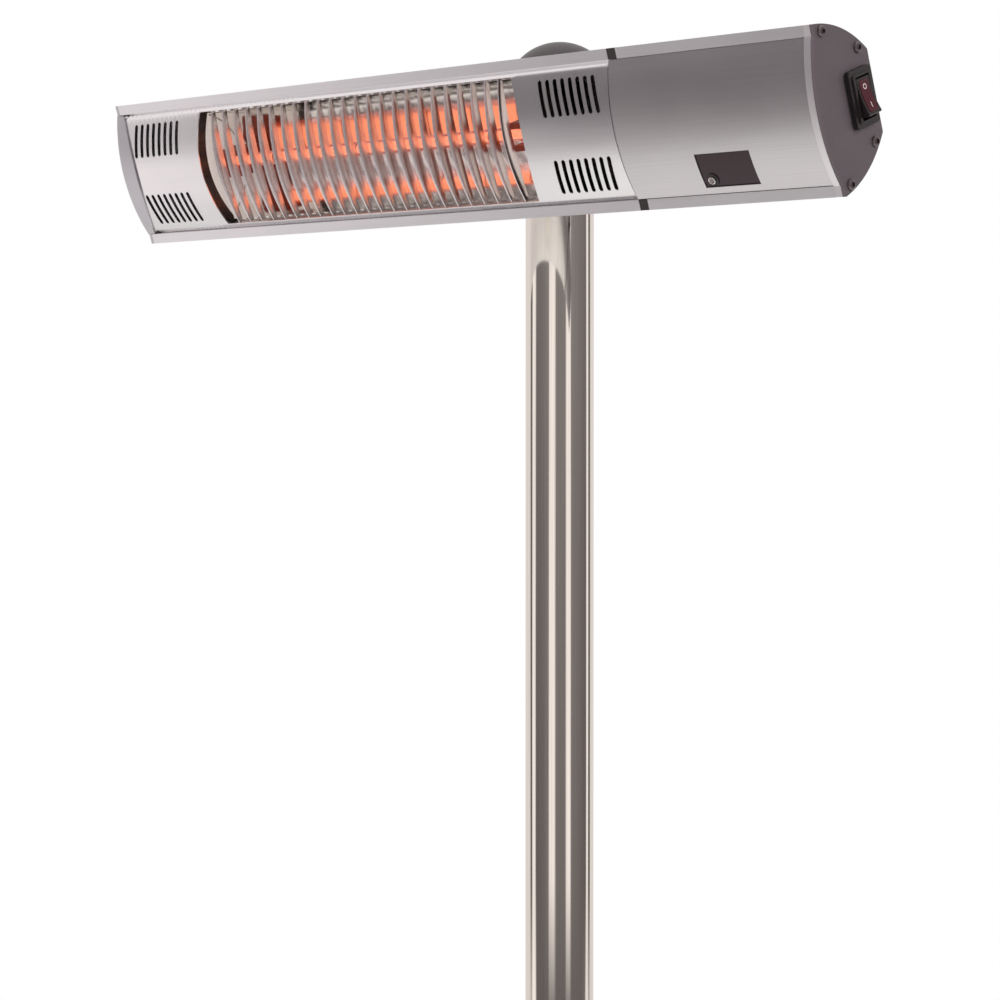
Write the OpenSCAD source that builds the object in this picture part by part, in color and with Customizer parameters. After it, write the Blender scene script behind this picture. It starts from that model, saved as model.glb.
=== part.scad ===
// Freestanding infrared heater: a tilting lamp head on a round column with a weighted base.
// Millimetres. +Z up, X along the head, front towards -Y. The origin is on the column's axis,
// on the floor.

/* [Head] */
// Length of the head over both end caps
head_len = 656; // [640:2:680]
// Height of the head over its front lips
head_h = 110; // [106:1:116]
// Depth of the head from the plane of its lips to its flat back
head_depth = 52.5; // [51:0.5:56]
// Height of the flat strip along the back
back_flat_h = 54; // [52:1:58]
// Bulge of the curved top and bottom walls
side_bulge = 5.5; // [5:0.25:6.5]
// Wall of the aluminium housing profile
housing_wall = 1.8; // [1.6:0.1:2.1]
// Height of the flat lip above and below the front
lip_h = 7.4; // [7:0.2:8]
// Thickness of the lips
lip_t = 2.2; // [2:0.1:2.3]
// Length of the housing over the controls
control_len = 150; // [146:1:160]
// Width of the divider between the two housings
divider_w = 7.4; // [7:0.2:10]
// Thickness of the end caps
cap_t = 3; // [2.6:0.2:3.6]
// Width of the bright end frame beside the right cap
frame_w = 5; // [4:0.5:6]

/* [Front panel and grille] */
// Thickness of the panel and cover sheet
sheet = 0.8; // [0.7:0.1:1]
// Bulge of the front panel between its folds
front_bulge = 8.2; // [7.4:0.2:9]
// How far the panel stands in front of the lips at its folds
panel_step = 0.8; // [0.6:0.1:1.2]
// Height of the folded edge above and below the panel
fold_h = 3.7; // [3.5:0.1:4]
// Room for the vent slots at each end of the opening
vent_room = 89.05; // [87.05:0.5:95.05]
// Number of slats in the grille
slat_count = 24; // [20:1:28]
// Thickness of a slat
slat_t = 0.8; // [0.6:0.1:1.2]
// Depth of a slat at its middle
slat_depth = 9.5; // [8:0.5:11]
// Outward bow of the opening's two ends
opening_bow = 5; // [4:0.5:6]
// How far the opening's middle lies right of the middle of its housing
opening_shift = 3.7; // [2.9:0.1:5.4]
// Number of vent slots in each group
vent_slots = 8; // [6:1:8]
// Distance from vent slot to vent slot
vent_pitch = 6.6; // [6:0.05:6.85]
// Width of a vent slot
vent_w = 3.3; // [2.5:0.1:3.6]
// Length of a vent slot with its round ends
vent_len = 25; // [20:1:26]
// Height of a vent group's middle above or below the head's middle
vent_z = 27; // [26:0.5:29]
// Distance of the first vent slot beyond the opening's corner
vent_inset = 26.75; // [23:0.25:27.5]

/* [Lamp and reflector] */
// Depth of the polished trough behind the lamp
trough_depth = 33; // [31:0.5:35]
// Thickness of the trough sheet
trough_t = 0.8; // [0.6:0.1:1]
// Distance of each trough end plate beyond the opening's corner
trough_over = 6; // [6:0.5:8]
// Outer diameter of the quartz lamp tube
lamp_d = 10.5; // [9.5:0.25:11]
// Wall of the quartz tube
lamp_wall = 1; // [0.8:0.1:1.3]
// Depth of the lamp's axis behind the lips
lamp_v = 20; // [18:0.5:22]

/* [Control section] */
// Length of the dark window in the control cover
window_len = 44; // [40:1:50]
// Height of the dark window's cut-out
window_h = 24; // [22:0.5:26]
// Distance of the window's middle from the right end of the head
window_from_end = 84; // [78:1:90]
// Height of the window's middle below the head's middle
window_drop = 30.5; // [29:0.5:31]
// Height of the rocker switch's flange
switch_h = 37; // [35:0.5:39]
// Width of the rocker switch's flange
switch_w = 26; // [24:0.5:28]
// Depth of the switch's middle behind the lips
switch_v = 34; // [32.5:0.5:34.5]
// Swing of the rocker from off to on, in degrees
rocker_swing = 26; // [20:1:28]

/* [Tilt joint] */
// Height of the tilt pivot above the floor
pivot_h = 2020; // [1900:10:2150]
// Downward tilt of the head as drawn, in degrees
tilt_rest = 19.5; // [15:0.5:30]
// Least downward tilt of the head, in degrees
tilt_least = 0; // [0:1:5]
// Greatest downward tilt of the head, in degrees
tilt_most = 45; // [40:1:45]
// Distance from the pivot to the head's back
pivot_gap = 80.5; // [79:0.5:90]
// Radius of the ball-shaped column head
ball_r = 41.3; // [40:0.1:42.5]
// Thickness of the tilt arm
arm_t = 14; // [12:0.5:16]
// Height of the tilt arm's bar
arm_h = 18; // [16:0.5:19]
// Diameter of the pivot bolt
bolt_d = 8; // [6:0.5:8]
// Diameter of the clamp knob over its lobes
knob_d = 36; // [32:1:40]

/* [Column] */
// Outer diameter of the column tubes
column_d = 50; // [48:1:52]
// Wall of the column tubes
column_wall = 1.5; // [1.2:0.1:2]
// Height of the joint between the two tubes
joint_h = 995; // [900:5:1100]
// Length of the sleeve inside that joint
sleeve_len = 160; // [120:5:200]

/* [Base] */
// Diameter of the base over its cover
base_d = 480; // [440:5:520]
// Thickness of the rubber mat
mat_t = 3; // [2:0.5:5]
// Thickness of the weight
weight_t = 12; // [10:0.5:16]
// Thickness of the base cover's sheet
cover_t = 1.2; // [1:0.1:2]
// Radius of the base cover's rolled edge
base_edge_r = 9; // [7:0.5:11]
// Diameter of the flange under the column
flange_d = 110; // [100:1:120]
// Thickness of that flange
flange_t = 6; // [5:0.5:8]

/* [Hidden] */
$fn = 72;
// Segments of the large arcs
ARC_FN = 240;
// Length by which a cut runs past the solid that it cuts
over = 1;
// Running clearance round the pivot bolt
run_gap = 0.08;
// Clearance between parts that are slid together
slip_gap = 0.1;
// Clearance between sheet parts
part_gap = 0.2;
// Least overlap of the strips that a bent sheet is drawn with
seam = 0.02;

// Head layout along X
left_x = -head_len / 2;
right_x = head_len / 2;
left_in_x = left_x + cap_t;
frame_x = right_x - cap_t - frame_w;
control_x = frame_x - control_len;
divider_x = control_x - divider_w;
reflector_len = divider_x - left_in_x;
half_h = head_h / 2;

// Radius of an arc from half its chord and its bulge
function arc_r(half_chord, bulge) =
    (half_chord * half_chord + bulge * bulge) / (2 * bulge);

// The housing profile's curved walls: one circle above, its mirror image below
side_drop = (head_h - back_flat_h) / 2;
side_chord = norm([head_depth, side_drop]);
side_r = arc_r(side_chord / 2, side_bulge);
side_mid = [head_depth / 2, half_h - side_drop / 2];
side_in = [-side_drop, -head_depth] / side_chord;
side_centre = side_mid + side_in * (side_r - side_bulge);
// Height of the housing's outer wall at depth v behind the lips
function side_z(v) = side_centre[1] + sqrt(pow(side_r, 2) - pow(v - side_centre[0], 2));

// Gap between a lip and the folded edge beside it
fold_gap = 0.4;
lip_edge = half_h - lip_h;
// Depth of the tucked tabs behind the plane of the lips
tab_v = lip_t + part_gap;
// Height of the tabs that tuck behind the lips
tab_h = 3.6;
fold_edge = lip_edge - fold_gap;
panel_half = fold_edge - fold_h;
panel_r = arc_r(panel_half, front_bulge);
front_v = -panel_step - front_bulge;
panel_centre_v = front_v + panel_r;
// How far the cover's edges lie behind the plane of the lips
cover_sink = 0.3;
cover_half = fold_edge;
cover_bulge = cover_sink - front_v;
cover_r = arc_r(cover_half, cover_bulge);
cover_centre_v = front_v + cover_r;
// The panel ends just before the divider, and the cover starts there
panel_end_gap = 0.8;
panel_end_x = divider_x - panel_end_gap;
cover_gap = 0.6;

// Ledge in the profile that carries the trough
ledge_t = 1.4;
ledge_edge = panel_half - sheet / 2;
rail_t = 1.9;
trough_v = tab_v + sheet + rail_t;
ledge_v = trough_v + trough_t;

// Screw channels of the profile
channel_r = 2.9;
channel_hole_r = 1.75;
// Depth of the front channels' middle below the lip, and the back ones' place from the back
front_channel_drop = 6;
back_channel_inset = 11;
back_channel_drop = 7.1;
front_channel = [ledge_v + ledge_t / 2, half_h - front_channel_drop];
back_channel_v = head_depth - back_channel_inset;
back_channel = [back_channel_v, side_z(back_channel_v) - back_channel_drop];
channels = [
    front_channel, [front_channel[0], -front_channel[1]],
    back_channel, [back_channel[0], -back_channel[1]]
];
// Width of the web between a rear channel and the wall
web_w = 3;

// Shares of the sheet's thickness: how far the opening and the slats stay inside the panel's
// edge, and how far a fold's strip runs past the fold
opening_inset_share = 0.1;
slat_inset_share = 0.9;
fold_over_share = 0.75;

// Opening of the front panel
opening_mid = (left_x + divider_x) / 2 + opening_shift;
opening_half = (divider_x - left_x) / 2 - vent_room;
slat_pitch = 2 * opening_half / (slat_count + 1);
opening_top = panel_half - opening_inset_share * sheet;
bow_r = arc_r(opening_top, opening_bow);
// The vent slots lean along the bow of the opening's ends
vent_lean = asin(vent_z / bow_r);

// Crescent lip of the left cap over the panel's end
cap_lip_w = 12;
cap_lip_bow = 6.5;
cap_lip_t = 1.1;
cap_bow_r = arc_r(panel_half, cap_lip_bow);
// How far the caps stand in front of the cover
cap_proud = 0.9;

// Trough section
trough_inset = 1.5;
trough_half = panel_half - trough_inset;
trough_r = arc_r(trough_half, trough_depth);
trough_centre_v = trough_v + trough_depth - trough_r;
trough_x0 = opening_mid - opening_half - trough_over;
trough_x1 = opening_mid + opening_half + trough_over;
end_plate_t = 1;
trough_flange = 2.6;

// Lamp layout
holder_len = 27.5;
holder_h = 20;
holder_depth = 22;
// Clearance round the tube in the holder's fork
fork_gap = 0.5;
lamp_cap_r = 4.4;
lamp_cap_len = 10;
lamp_cap_inset = 0.5;
filament_r = 1.2;
support_count = 6;
support_t = 0.6;

// Slat outline
slat_front_r = panel_r - part_gap;
slat_end_depth = 4;
slat_half = panel_half - slat_inset_share * sheet;
slat_tab_h = 2;
slat_back_rise = front_bulge + slat_end_depth - slat_depth;

// Fasteners
cap_screw_head_r = 3.6;
cap_screw_head_h = 2.4;
cap_screw_len = 14;
screw_fit_gap = 0.05;

// Control section layout
window_x = right_x - window_from_end;
window_over = 3;
window_t = 2;
lens_r = 2.7;
lens_bezel_r = 4.6;
lens_bezel_h = 0.8;
lens_h = 1.6;
lens_inset = [7.5, 5.5];
board_size = [60, 1.6, 50];
board_stand = 7;
board_inset = 24;
board_v = head_depth - housing_wall - board_stand;
board_x = frame_x - board_size[0] - board_inset;
pillar_r = 2.6;
pillar_inset = 5;
terminal_size = [28, 14, 16];
terminal_inset = 7;
terminal_z = 8;
terminal_pos = [control_x + terminal_inset, terminal_z];
tip_size = [16, 14, 20];
tip_gap = 6;
tip_x = board_x - tip_size[0] - tip_gap;
gland_inset = 25;
gland_z = -11;
gland_pos = [control_x + gland_inset, gland_z];
gland_hole_r = 4.1;
gland_thread_r = 6;
gland_body_r = 8;
gland_body_len = 8;
gland_cap_r = 7.2;
gland_cap_len = 12;
gland_nut_r = 9;
gland_nut_t = 3.5;
lead_r = 1.3;
lead_turn = 8;
wire_hole_r = 3.6;
wire_v = 45.5;
wire_z = 1.8;

// Rocker switch layout, measured out from the cap's outer face
gasket_t = 1.4;
flange_out = 2.4;
collar_out = 3.6;
collar_inset = 3;
corner_r = 3;
collar_corner_r = 2;
// Width of the collar's rim round the rocker
collar_rim = 3;
rocker_gap = 0.5;
rocker_end_gap = 1.4;
rocker_len = switch_h - 2 * collar_inset - 2 * collar_rim;
rocker_w = switch_w - 2 * collar_inset - 2 * collar_rim;
switch_body_depth = 20;
switch_body_inset = 4;
rocker_axis_out = 1.6;
rocker_axis_x = right_x + gasket_t + rocker_axis_out;
rocker_pin_r = 1.5;
rocker_pin_len = 1.6;
// Height of the rocker's hollow face over its axis, at the middle and at the two ends
rocker_crown = 3.4;
rocker_rise = 4.8;
rocker_sole = 3;
rocker_corner_r = 1.6;
rocker_face_r = arc_r(rocker_len / 2, rocker_rise - rocker_crown);
blade_size = [8, 0.8, 6.3];

// Tilt joint layout
eye_r = 15;
slot_gap = 0.5;
washer_t = 0.4;
sweep_gap = 1.5;
foot_size = [64, 4, 46];
foot_screw = [23, 16];
foot_screw_r = 2.5;
flare_len = 26;
flare_half = 19;
backing_t = 2;
cheek_x = 34;
pocket_r = 12;
neck_r = 21;
neck_top = 32;
collar_top = 47;
collar_h = 13;
collar_over = 3;
spigot_len = 50;
bolt_head_r = 7.5;
bolt_head_h = 5.3;
pivot_washer_t = 1.6;
pivot_washer_r = 10;
knob_hub_r = 9;
knob_hub_len = 6;
knob_body_len = 15;
knob_lobes = 5;
knob_lobe_r = 6;
// Share of the step between two lobes by which the first one is turned
lobe_turn_share = 0.25;
insert_r = 6.5;
insert_len = 12;

// Column and base layout
tube_in_r = column_d / 2 - column_wall;
column_top = pivot_h - collar_top - collar_h;
column_screw_r = 2.5;
column_screw_head_r = 4.6;
column_screw_head_h = 2.2;
spigot_screw_drop = 12;
sleeve_screw_drop = 45;
sleeve_wall = 2.5;
cover_z = mat_t + weight_t;
base_top = cover_z + cover_t;
base_bolt_r = 4;
base_bolt_head_r = 6.5;
base_bolt_head_h = 5;
base_bolt_count = 4;
base_bolt_inset = 13;
// Share of the step between two bolts by which the first one is turned
bolt_turn_share = 0.5;
collar_wall = 1;
collar_rise = 26;
collar_edge_r = 14;
collar_spread = 7;
collar_out_r = flange_d / 2 + collar_spread;
rim_z = 1.5;

// Frame of the head: X along it, Y backwards from the plane of the lips, Z up from its middle
module in_head() {
    translate([0, 0, pivot_h]) rotate([tilt_rest, 0, 0])
        translate([0, -pivot_gap - head_depth, 0]) children();
}

// Frame of the tilting arm: the same directions, from the pivot
module in_tilt() {
    translate([0, 0, pivot_h]) rotate([tilt_rest, 0, 0]) children();
}

// Frame of the fixed column head, from the pivot
module at_pivot() {
    translate([0, 0, pivot_h]) children();
}

// Extrudes a section drawn as depth and height along X
module along_x(x0, len) {
    translate([x0, 0, 0]) rotate([90, 0, 90]) linear_extrude(len) children();
}

// Extrudes an outline drawn as length and height backwards along Y
module along_y(y0, len) {
    translate([0, y0 + len, 0]) rotate([90, 0, 0]) linear_extrude(len) children();
}

module rod_x(x0, len, r) {
    translate([x0, 0, 0]) rotate([0, 90, 0]) cylinder(r = r, h = len);
}

module rod_y(y0, len, r) {
    translate([0, y0, 0]) rotate([-90, 0, 0]) cylinder(r = r, h = len);
}

// A block from its lowest corner to its highest one
module block(low, high) {
    translate(low) cube(high - low);
}

module rounded_2d(w, h, r) {
    square([w - 2 * r, h], center = true);
    square([w, h - 2 * r], center = true);
    for (x = [-1, 1], y = [-1, 1])
        translate([x * (w / 2 - r), y * (h / 2 - r)]) circle(r);
}

// Barrel-shaped section of the housing, drawn in by inset and open past the front by proud
module barrel_2d(inset, proud) {
    intersection() {
        translate(side_centre) circle(side_r - inset, $fn = ARC_FN);
        translate([side_centre[0], -side_centre[1]]) circle(side_r - inset, $fn = ARC_FN);
        translate([-proud, -half_h]) square([head_depth + proud - inset, head_h]);
    }
}

// Bulged strip between two concentric arcs, cut off at depth end_v
module arc_strip_2d(centre_v, r, t, end_v) {
    intersection() {
        difference() {
            translate([centre_v, 0]) circle(r, $fn = ARC_FN);
            translate([centre_v, 0]) circle(r - t, $fn = ARC_FN);
        }
        translate([centre_v - r - over, -half_h]) square([end_v - centre_v + r + over, head_h]);
    }
}

module channel_holes_2d(r) {
    for (c = channels) translate(c) circle(r);
}

// Aluminium profile of both housings
module housing_2d() {
    difference() {
        union() {
            difference() {
                barrel_2d(0, 0);
                barrel_2d(housing_wall, over);
            }
            intersection() {
                barrel_2d(0, 0);
                union() {
                    for (s = [0, 1]) mirror([0, s]) {
                        translate([0, lip_edge]) square([lip_t, lip_h]);
                        translate([ledge_v, ledge_edge]) square([ledge_t, half_h - ledge_edge]);
                        translate([back_channel[0] - web_w / 2, back_channel[1]])
                            square([web_w, half_h - back_channel[1]]);
                    }
                    channel_holes_2d(channel_r);
                }
            }
        }
        channel_holes_2d(channel_hole_r);
    }
}

module reflector_housing() {
    color("silver") in_head() difference() {
        along_x(left_in_x, reflector_len) housing_2d();
        for (x = [-1, 1], z = [-1, 1]) translate([x * foot_screw[0], 0, z * foot_screw[1]])
            rod_y(head_depth - housing_wall - over, housing_wall + 2 * over, foot_screw_r + slip_gap);
    }
}

module control_housing() {
    color("silver") in_head() difference() {
        along_x(control_x, control_len) housing_2d();
        translate([gland_pos[0], 0, gland_pos[1]])
            rod_y(head_depth - housing_wall - over, housing_wall + 2 * over, gland_thread_r + slip_gap);
    }
}

// Depth behind the lips at which the divider's middle lies, clear of the sheets in front
divider_v = tab_v + sheet + part_gap;

module housing_divider() {
    color("dimgray") in_head() difference() {
        along_x(divider_x, divider_w) difference() {
            barrel_2d(0, 0);
            translate([-over, -lip_edge]) square([divider_v + over, 2 * lip_edge]);
            translate([lip_t, -fold_edge - tab_h - part_gap])
                square([divider_v - lip_t, 2 * (fold_edge + tab_h + part_gap)]);
            channel_holes_2d(channel_hole_r);
            translate([wire_v, 0]) circle(wire_hole_r);
        }
    }
}

// Length of the pins that line the two housings up
pin_reach = 16;

module divider_pins() {
    color("darkgray") in_head() for (c = channels)
        translate([0, c[0], c[1]])
            rod_x(divider_x - pin_reach, divider_w + 2 * pin_reach, channel_hole_r - screw_fit_gap);
}

// Section of the front panel: bulged middle, slanted folds and tabs behind the lips
module panel_2d() {
    fold = [tab_v + panel_step, fold_edge - panel_half];
    arc_strip_2d(panel_centre_v, panel_r, sheet, -panel_step);
    for (s = [0, 1]) mirror([0, s]) {
        translate([-panel_step, panel_half]) rotate(atan2(fold[1], fold[0]))
            translate([-sheet / 2, -sheet]) square([norm(fold) + fold_over_share * sheet, sheet + seam]);
        translate([tab_v, fold_edge - sheet]) square([sheet, tab_h + sheet]);
    }
}

module vent_2d() {
    square([vent_w, vent_len - vent_w], center = true);
    for (s = [-1, 1]) translate([0, s * (vent_len - vent_w) / 2]) circle(vent_w / 2);
}

// Opening with bowed ends
module opening_2d() {
    intersection() {
        square([2 * (opening_half + opening_bow), 2 * opening_top], center = true);
        translate([bow_r - opening_half - opening_bow, 0]) circle(bow_r, $fn = ARC_FN);
        translate([opening_half + opening_bow - bow_r, 0]) circle(bow_r, $fn = ARC_FN);
    }
}

module front_panel() {
    cut_len = tab_v - front_v + 2 * over;
    color("lightgray") in_head() difference() {
        along_x(left_in_x + part_gap, panel_end_x - left_in_x - part_gap) panel_2d();
        translate([opening_mid, 0, 0]) {
            along_y(front_v - over, cut_len) opening_2d();
            for (s = [-1, 1], g = [-1, 1], n = [0:vent_slots - 1])
                translate([s * (opening_half + vent_inset + n * vent_pitch), 0, g * vent_z])
                    along_y(front_v - over, cut_len) rotate(s * g * vent_lean) vent_2d();
        }
    }
}

// Face of the panel's tabs on which the rails bear
rail_v = tab_v + sheet;
rail_h = 3.2;
slat_back_r = arc_r(slat_half, slat_back_rise);
slat_tab_t = 1.2;

// One slat, seen along the head: a curved front, a flatter back and a tab at each end
module slat_2d() {
    intersection() {
        difference() {
            translate([panel_centre_v, 0]) circle(slat_front_r, $fn = ARC_FN);
            translate([rail_v - slat_back_rise + slat_back_r, 0]) circle(slat_back_r, $fn = ARC_FN);
        }
        translate([front_v - over, -slat_half]) square([rail_v - front_v + over, 2 * slat_half]);
    }
    for (s = [0, 1]) mirror([0, s])
        translate([rail_v - slat_tab_t, slat_half - slat_t]) square([slat_tab_t, slat_tab_h + slat_t]);
}

module grille_slats() {
    color("whitesmoke") in_head() for (n = [0:slat_count - 1])
        along_x(opening_mid + (n - (slat_count - 1) / 2) * slat_pitch - slat_t / 2, slat_t) slat_2d();
}

module grille_rails() {
    color("silver") in_head() along_x(trough_x0, trough_x1 - trough_x0)
        for (s = [0, 1]) mirror([0, s])
            translate([rail_v, slat_half + part_gap]) square([rail_t, rail_h]);
}

module reflector_trough() {
    color("white") in_head() along_x(trough_x0, trough_x1 - trough_x0) difference() {
        union() {
            intersection() {
                translate([trough_centre_v, 0]) circle(trough_r, $fn = ARC_FN);
                translate([trough_v + seam, -half_h]) square([trough_depth + over, head_h]);
            }
            translate([trough_v, -trough_half - trough_flange])
                square([trough_t, 2 * (trough_half + trough_flange)]);
        }
        translate([trough_centre_v, 0]) circle(trough_r - trough_t, $fn = ARC_FN);
    }
}

// Outline of a trough end plate: the trough behind, the panel's inner curve in front
module end_plate_2d() {
    intersection() {
        union() {
            translate([trough_centre_v, 0]) circle(trough_r, $fn = ARC_FN);
            translate([front_v, -trough_half]) square([trough_v - front_v + over, 2 * trough_half]);
        }
        translate([panel_centre_v, 0]) circle(panel_r - sheet - part_gap, $fn = ARC_FN);
        translate([front_v, -trough_half]) square([head_depth, 2 * trough_half]);
    }
}

module trough_end_plates() {
    color("dimgray") in_head() for (x = [trough_x0 - end_plate_t, trough_x1])
        along_x(x, end_plate_t) difference() {
            end_plate_2d();
            for (z = [-1, 1]) translate([lamp_v, z * wire_z]) circle(lead_r + slip_gap);
        }
}

// Place of the lamp caps' outer ends
lamp_cap_x0 = trough_x0 + lamp_cap_inset;
lamp_cap_x1 = trough_x1 - lamp_cap_inset;
tube_x0 = lamp_cap_x0 + lamp_cap_len;
tube_x1 = lamp_cap_x1 - lamp_cap_len;

module lamp_tube() {
    color("salmon", 0.6) in_head() translate([0, lamp_v, 0]) difference() {
        rod_x(tube_x0, tube_x1 - tube_x0, lamp_d / 2);
        rod_x(tube_x0 - over, tube_x1 - tube_x0 + 2 * over, lamp_d / 2 - lamp_wall);
    }
}

module lamp_filament() {
    filament_len = tube_x1 - tube_x0;
    color("orangered") in_head() translate([0, lamp_v, 0]) {
        rod_x(tube_x0, filament_len, filament_r);
        for (n = [1:support_count])
            rod_x(tube_x0 + n * filament_len / (support_count + 1) - support_t / 2, support_t,
                lamp_d / 2 - lamp_wall - slip_gap);
    }
}

module lamp_end_caps() {
    color("ivory") in_head() translate([0, lamp_v, 0])
        for (x = [lamp_cap_x0, lamp_cap_x1 - lamp_cap_len]) rod_x(x, lamp_cap_len, lamp_cap_r);
}

// Holder that starts at x = 0: a bore for the lamp's cap, then a fork round the end of the tube
module lamp_holder() {
    fork_half = lamp_d / 2 + fork_gap;
    difference() {
        block([0, lamp_v - holder_depth / 2, -holder_h / 2],
            [holder_len, lamp_v + holder_depth / 2, holder_h / 2]);
        translate([0, lamp_v, 0]) rod_x(-over, holder_len, lamp_cap_r + slip_gap);
        block([lamp_cap_inset + lamp_cap_len - slip_gap, lamp_v - holder_depth / 2 - over, -fork_half],
            [holder_len + over, lamp_v + fork_half, fork_half]);
    }
}

module lamp_holders() {
    color("saddlebrown") in_head() {
        translate([trough_x0, 0, 0]) lamp_holder();
        translate([trough_x1, 0, 0]) mirror([1, 0, 0]) lamp_holder();
    }
}

// Outline of an end cap: the housing behind, the control cover's curve in front
module cap_2d() {
    barrel_2d(0, 0);
    intersection() {
        translate([cover_centre_v, 0]) circle(cover_r + cap_proud, $fn = ARC_FN);
        translate([front_v - cap_proud - over, -lip_edge])
            square([lip_t - front_v + cap_proud + over, 2 * lip_edge]);
    }
}

module left_end_cap() {
    color("silver") in_head() {
        along_x(left_x, cap_t) difference() {
            cap_2d();
            channel_holes_2d(channel_hole_r + slip_gap);
        }
        intersection() {
            along_x(left_in_x - cap_t / 2, cap_lip_w + cap_t / 2)
                arc_strip_2d(panel_centre_v, panel_r + part_gap + cap_lip_t, cap_lip_t, -panel_step);
            along_y(front_v - cap_lip_t - over, front_bulge + panel_step + cap_lip_t + over)
                translate([left_in_x + cap_lip_w - cap_bow_r, 0]) circle(cap_bow_r, $fn = ARC_FN);
        }
    }
}

module right_end_cap() {
    color("dimgray") in_head() along_x(right_x - cap_t, cap_t) difference() {
        cap_2d();
        channel_holes_2d(channel_hole_r + slip_gap);
        translate([switch_v, 0]) square([
            switch_w - 2 * switch_body_inset + 2 * slip_gap,
            switch_h - 2 * switch_body_inset + 2 * slip_gap
        ], center = true);
    }
}

frame_wall = 3;

module right_end_frame() {
    color("gainsboro") in_head() along_x(frame_x, frame_w) difference() {
        cap_2d();
        intersection() {
            barrel_2d(frame_wall, head_depth);
            translate([cover_centre_v, 0]) circle(cover_r + cap_proud - frame_wall, $fn = ARC_FN);
        }
    }
}

// Cap screw with a domed head, its head's seat at x = 0
module cap_screw() {
    dome_r = arc_r(cap_screw_head_r, cap_screw_head_h);
    rod_x(-cap_screw_len, cap_screw_len + cap_screw_head_h / 2, channel_hole_r - screw_fit_gap);
    rotate([0, 90, 0]) rotate_extrude() intersection() {
        square([cap_screw_head_r, cap_screw_head_h]);
        translate([0, cap_screw_head_h - dome_r]) circle(dome_r);
    }
}

module end_cap_screws() {
    color("gray") in_head() for (c = channels) {
        translate([right_x, c[0], c[1]]) cap_screw();
        translate([left_x, c[0], c[1]]) mirror([1, 0, 0]) cap_screw();
    }
}

// Section of the control cover: a curve from lip to lip with tabs behind the lips
module cover_2d() {
    intersection() {
        arc_strip_2d(cover_centre_v, cover_r, sheet, cover_sink + sheet / 2);
        square([head_depth, 2 * fold_edge], center = true);
    }
    for (s = [0, 1]) mirror([0, s]) {
        translate([cover_sink, fold_edge - sheet]) square([tab_v + sheet - cover_sink, sheet]);
        translate([tab_v, fold_edge - sheet]) square([sheet, tab_h + sheet]);
    }
}

window_z = -window_drop;

module control_cover() {
    color("silver") in_head() difference() {
        along_x(panel_end_x + cover_gap, frame_x - part_gap - panel_end_x - cover_gap) cover_2d();
        translate([window_x - window_len / 2, front_v - over, window_z - window_h / 2])
            cube([window_len, cover_bulge, window_h]);
    }
}

window_r = cover_r - sheet - slip_gap;
lens_x = window_x - window_len / 2 + lens_inset[0];
lens_z = window_z - window_h / 2 + lens_inset[1];

// Frame on the window's face: Y runs inwards, square to the face at the lens
module on_window() {
    translate([lens_x, cover_centre_v, 0]) rotate([asin(-lens_z / window_r), 0, 0])
        translate([0, -window_r, 0]) children();
}

module indicator_window() {
    color("#2b2526") in_head() difference() {
        along_x(window_x - window_len / 2 - window_over, window_len + 2 * window_over) intersection() {
            arc_strip_2d(cover_centre_v, window_r, window_t, head_depth);
            translate([front_v, window_z - window_h / 2 - window_over])
                square([head_depth, window_h + 2 * window_over]);
        }
        on_window() rod_y(-over, window_t + 2 * over, lens_r + slip_gap);
    }
}

module indicator_lens() {
    color("whitesmoke") in_head() on_window() {
        rod_y(-lens_h, lens_h + window_t, lens_r);
        rod_y(-lens_bezel_h, lens_bezel_h, lens_bezel_r);
    }
}

switch_face_x = right_x + gasket_t;

// Outline on the right cap, drawn as depth and height, grown inwards by inset
module switch_2d(inset, r) {
    translate([switch_v, 0]) rounded_2d(switch_w - 2 * inset, switch_h - 2 * inset, r);
}

module switch_gasket() {
    color("black") in_head() along_x(right_x, gasket_t) difference() {
        switch_2d(0, corner_r);
        translate([switch_v, 0]) square([
            switch_w - 2 * switch_body_inset + 2 * slip_gap,
            switch_h - 2 * switch_body_inset + 2 * slip_gap
        ], center = true);
    }
}

// Depth of the rocker's well behind its axis
well_depth = rocker_sole + rocker_len / 2 * sin(rocker_swing / 2) + rocker_end_gap;

module switch_housing() {
    color("#1d1c1d") in_head() difference() {
        union() {
            along_x(switch_face_x, flange_out) switch_2d(0, corner_r);
            along_x(switch_face_x, collar_out) switch_2d(collar_inset, collar_corner_r);
            translate([right_x - switch_body_depth, 0, 0]) block(
                [0, switch_v - switch_w / 2 + switch_body_inset, -switch_h / 2 + switch_body_inset],
                [switch_body_depth + gasket_t + over, switch_v + switch_w / 2 - switch_body_inset,
                    switch_h / 2 - switch_body_inset]);
        }
        block(
            [rocker_axis_x - well_depth, switch_v - rocker_w / 2 - rocker_gap,
                -rocker_len / 2 - rocker_end_gap],
            [switch_face_x + collar_out + over, switch_v + rocker_w / 2 + rocker_gap,
                rocker_len / 2 + rocker_end_gap]);
        translate([rocker_axis_x, 0, 0])
            rod_y(switch_v - rocker_w / 2 - rocker_pin_len - slip_gap,
                rocker_w + 2 * rocker_pin_len + 2 * slip_gap, rocker_pin_r + run_gap);
    }
}

module switch_terminals() {
    color("goldenrod") in_head() for (z = [-1, 0, 1])
        translate([right_x - switch_body_depth - blade_size[0], switch_v - blade_size[1] / 2,
            z * switch_h / 4 - blade_size[2] / 2]) cube(blade_size);
}

// Section of the rocker: a block with round corners and a hollow face
module rocker_2d() {
    difference() {
        translate([(rocker_rise - rocker_sole) / 2, 0])
            rounded_2d(rocker_rise + rocker_sole, rocker_len, rocker_corner_r);
        translate([rocker_crown + rocker_face_r, 0]) circle(rocker_face_r, $fn = ARC_FN);
    }
}

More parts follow.
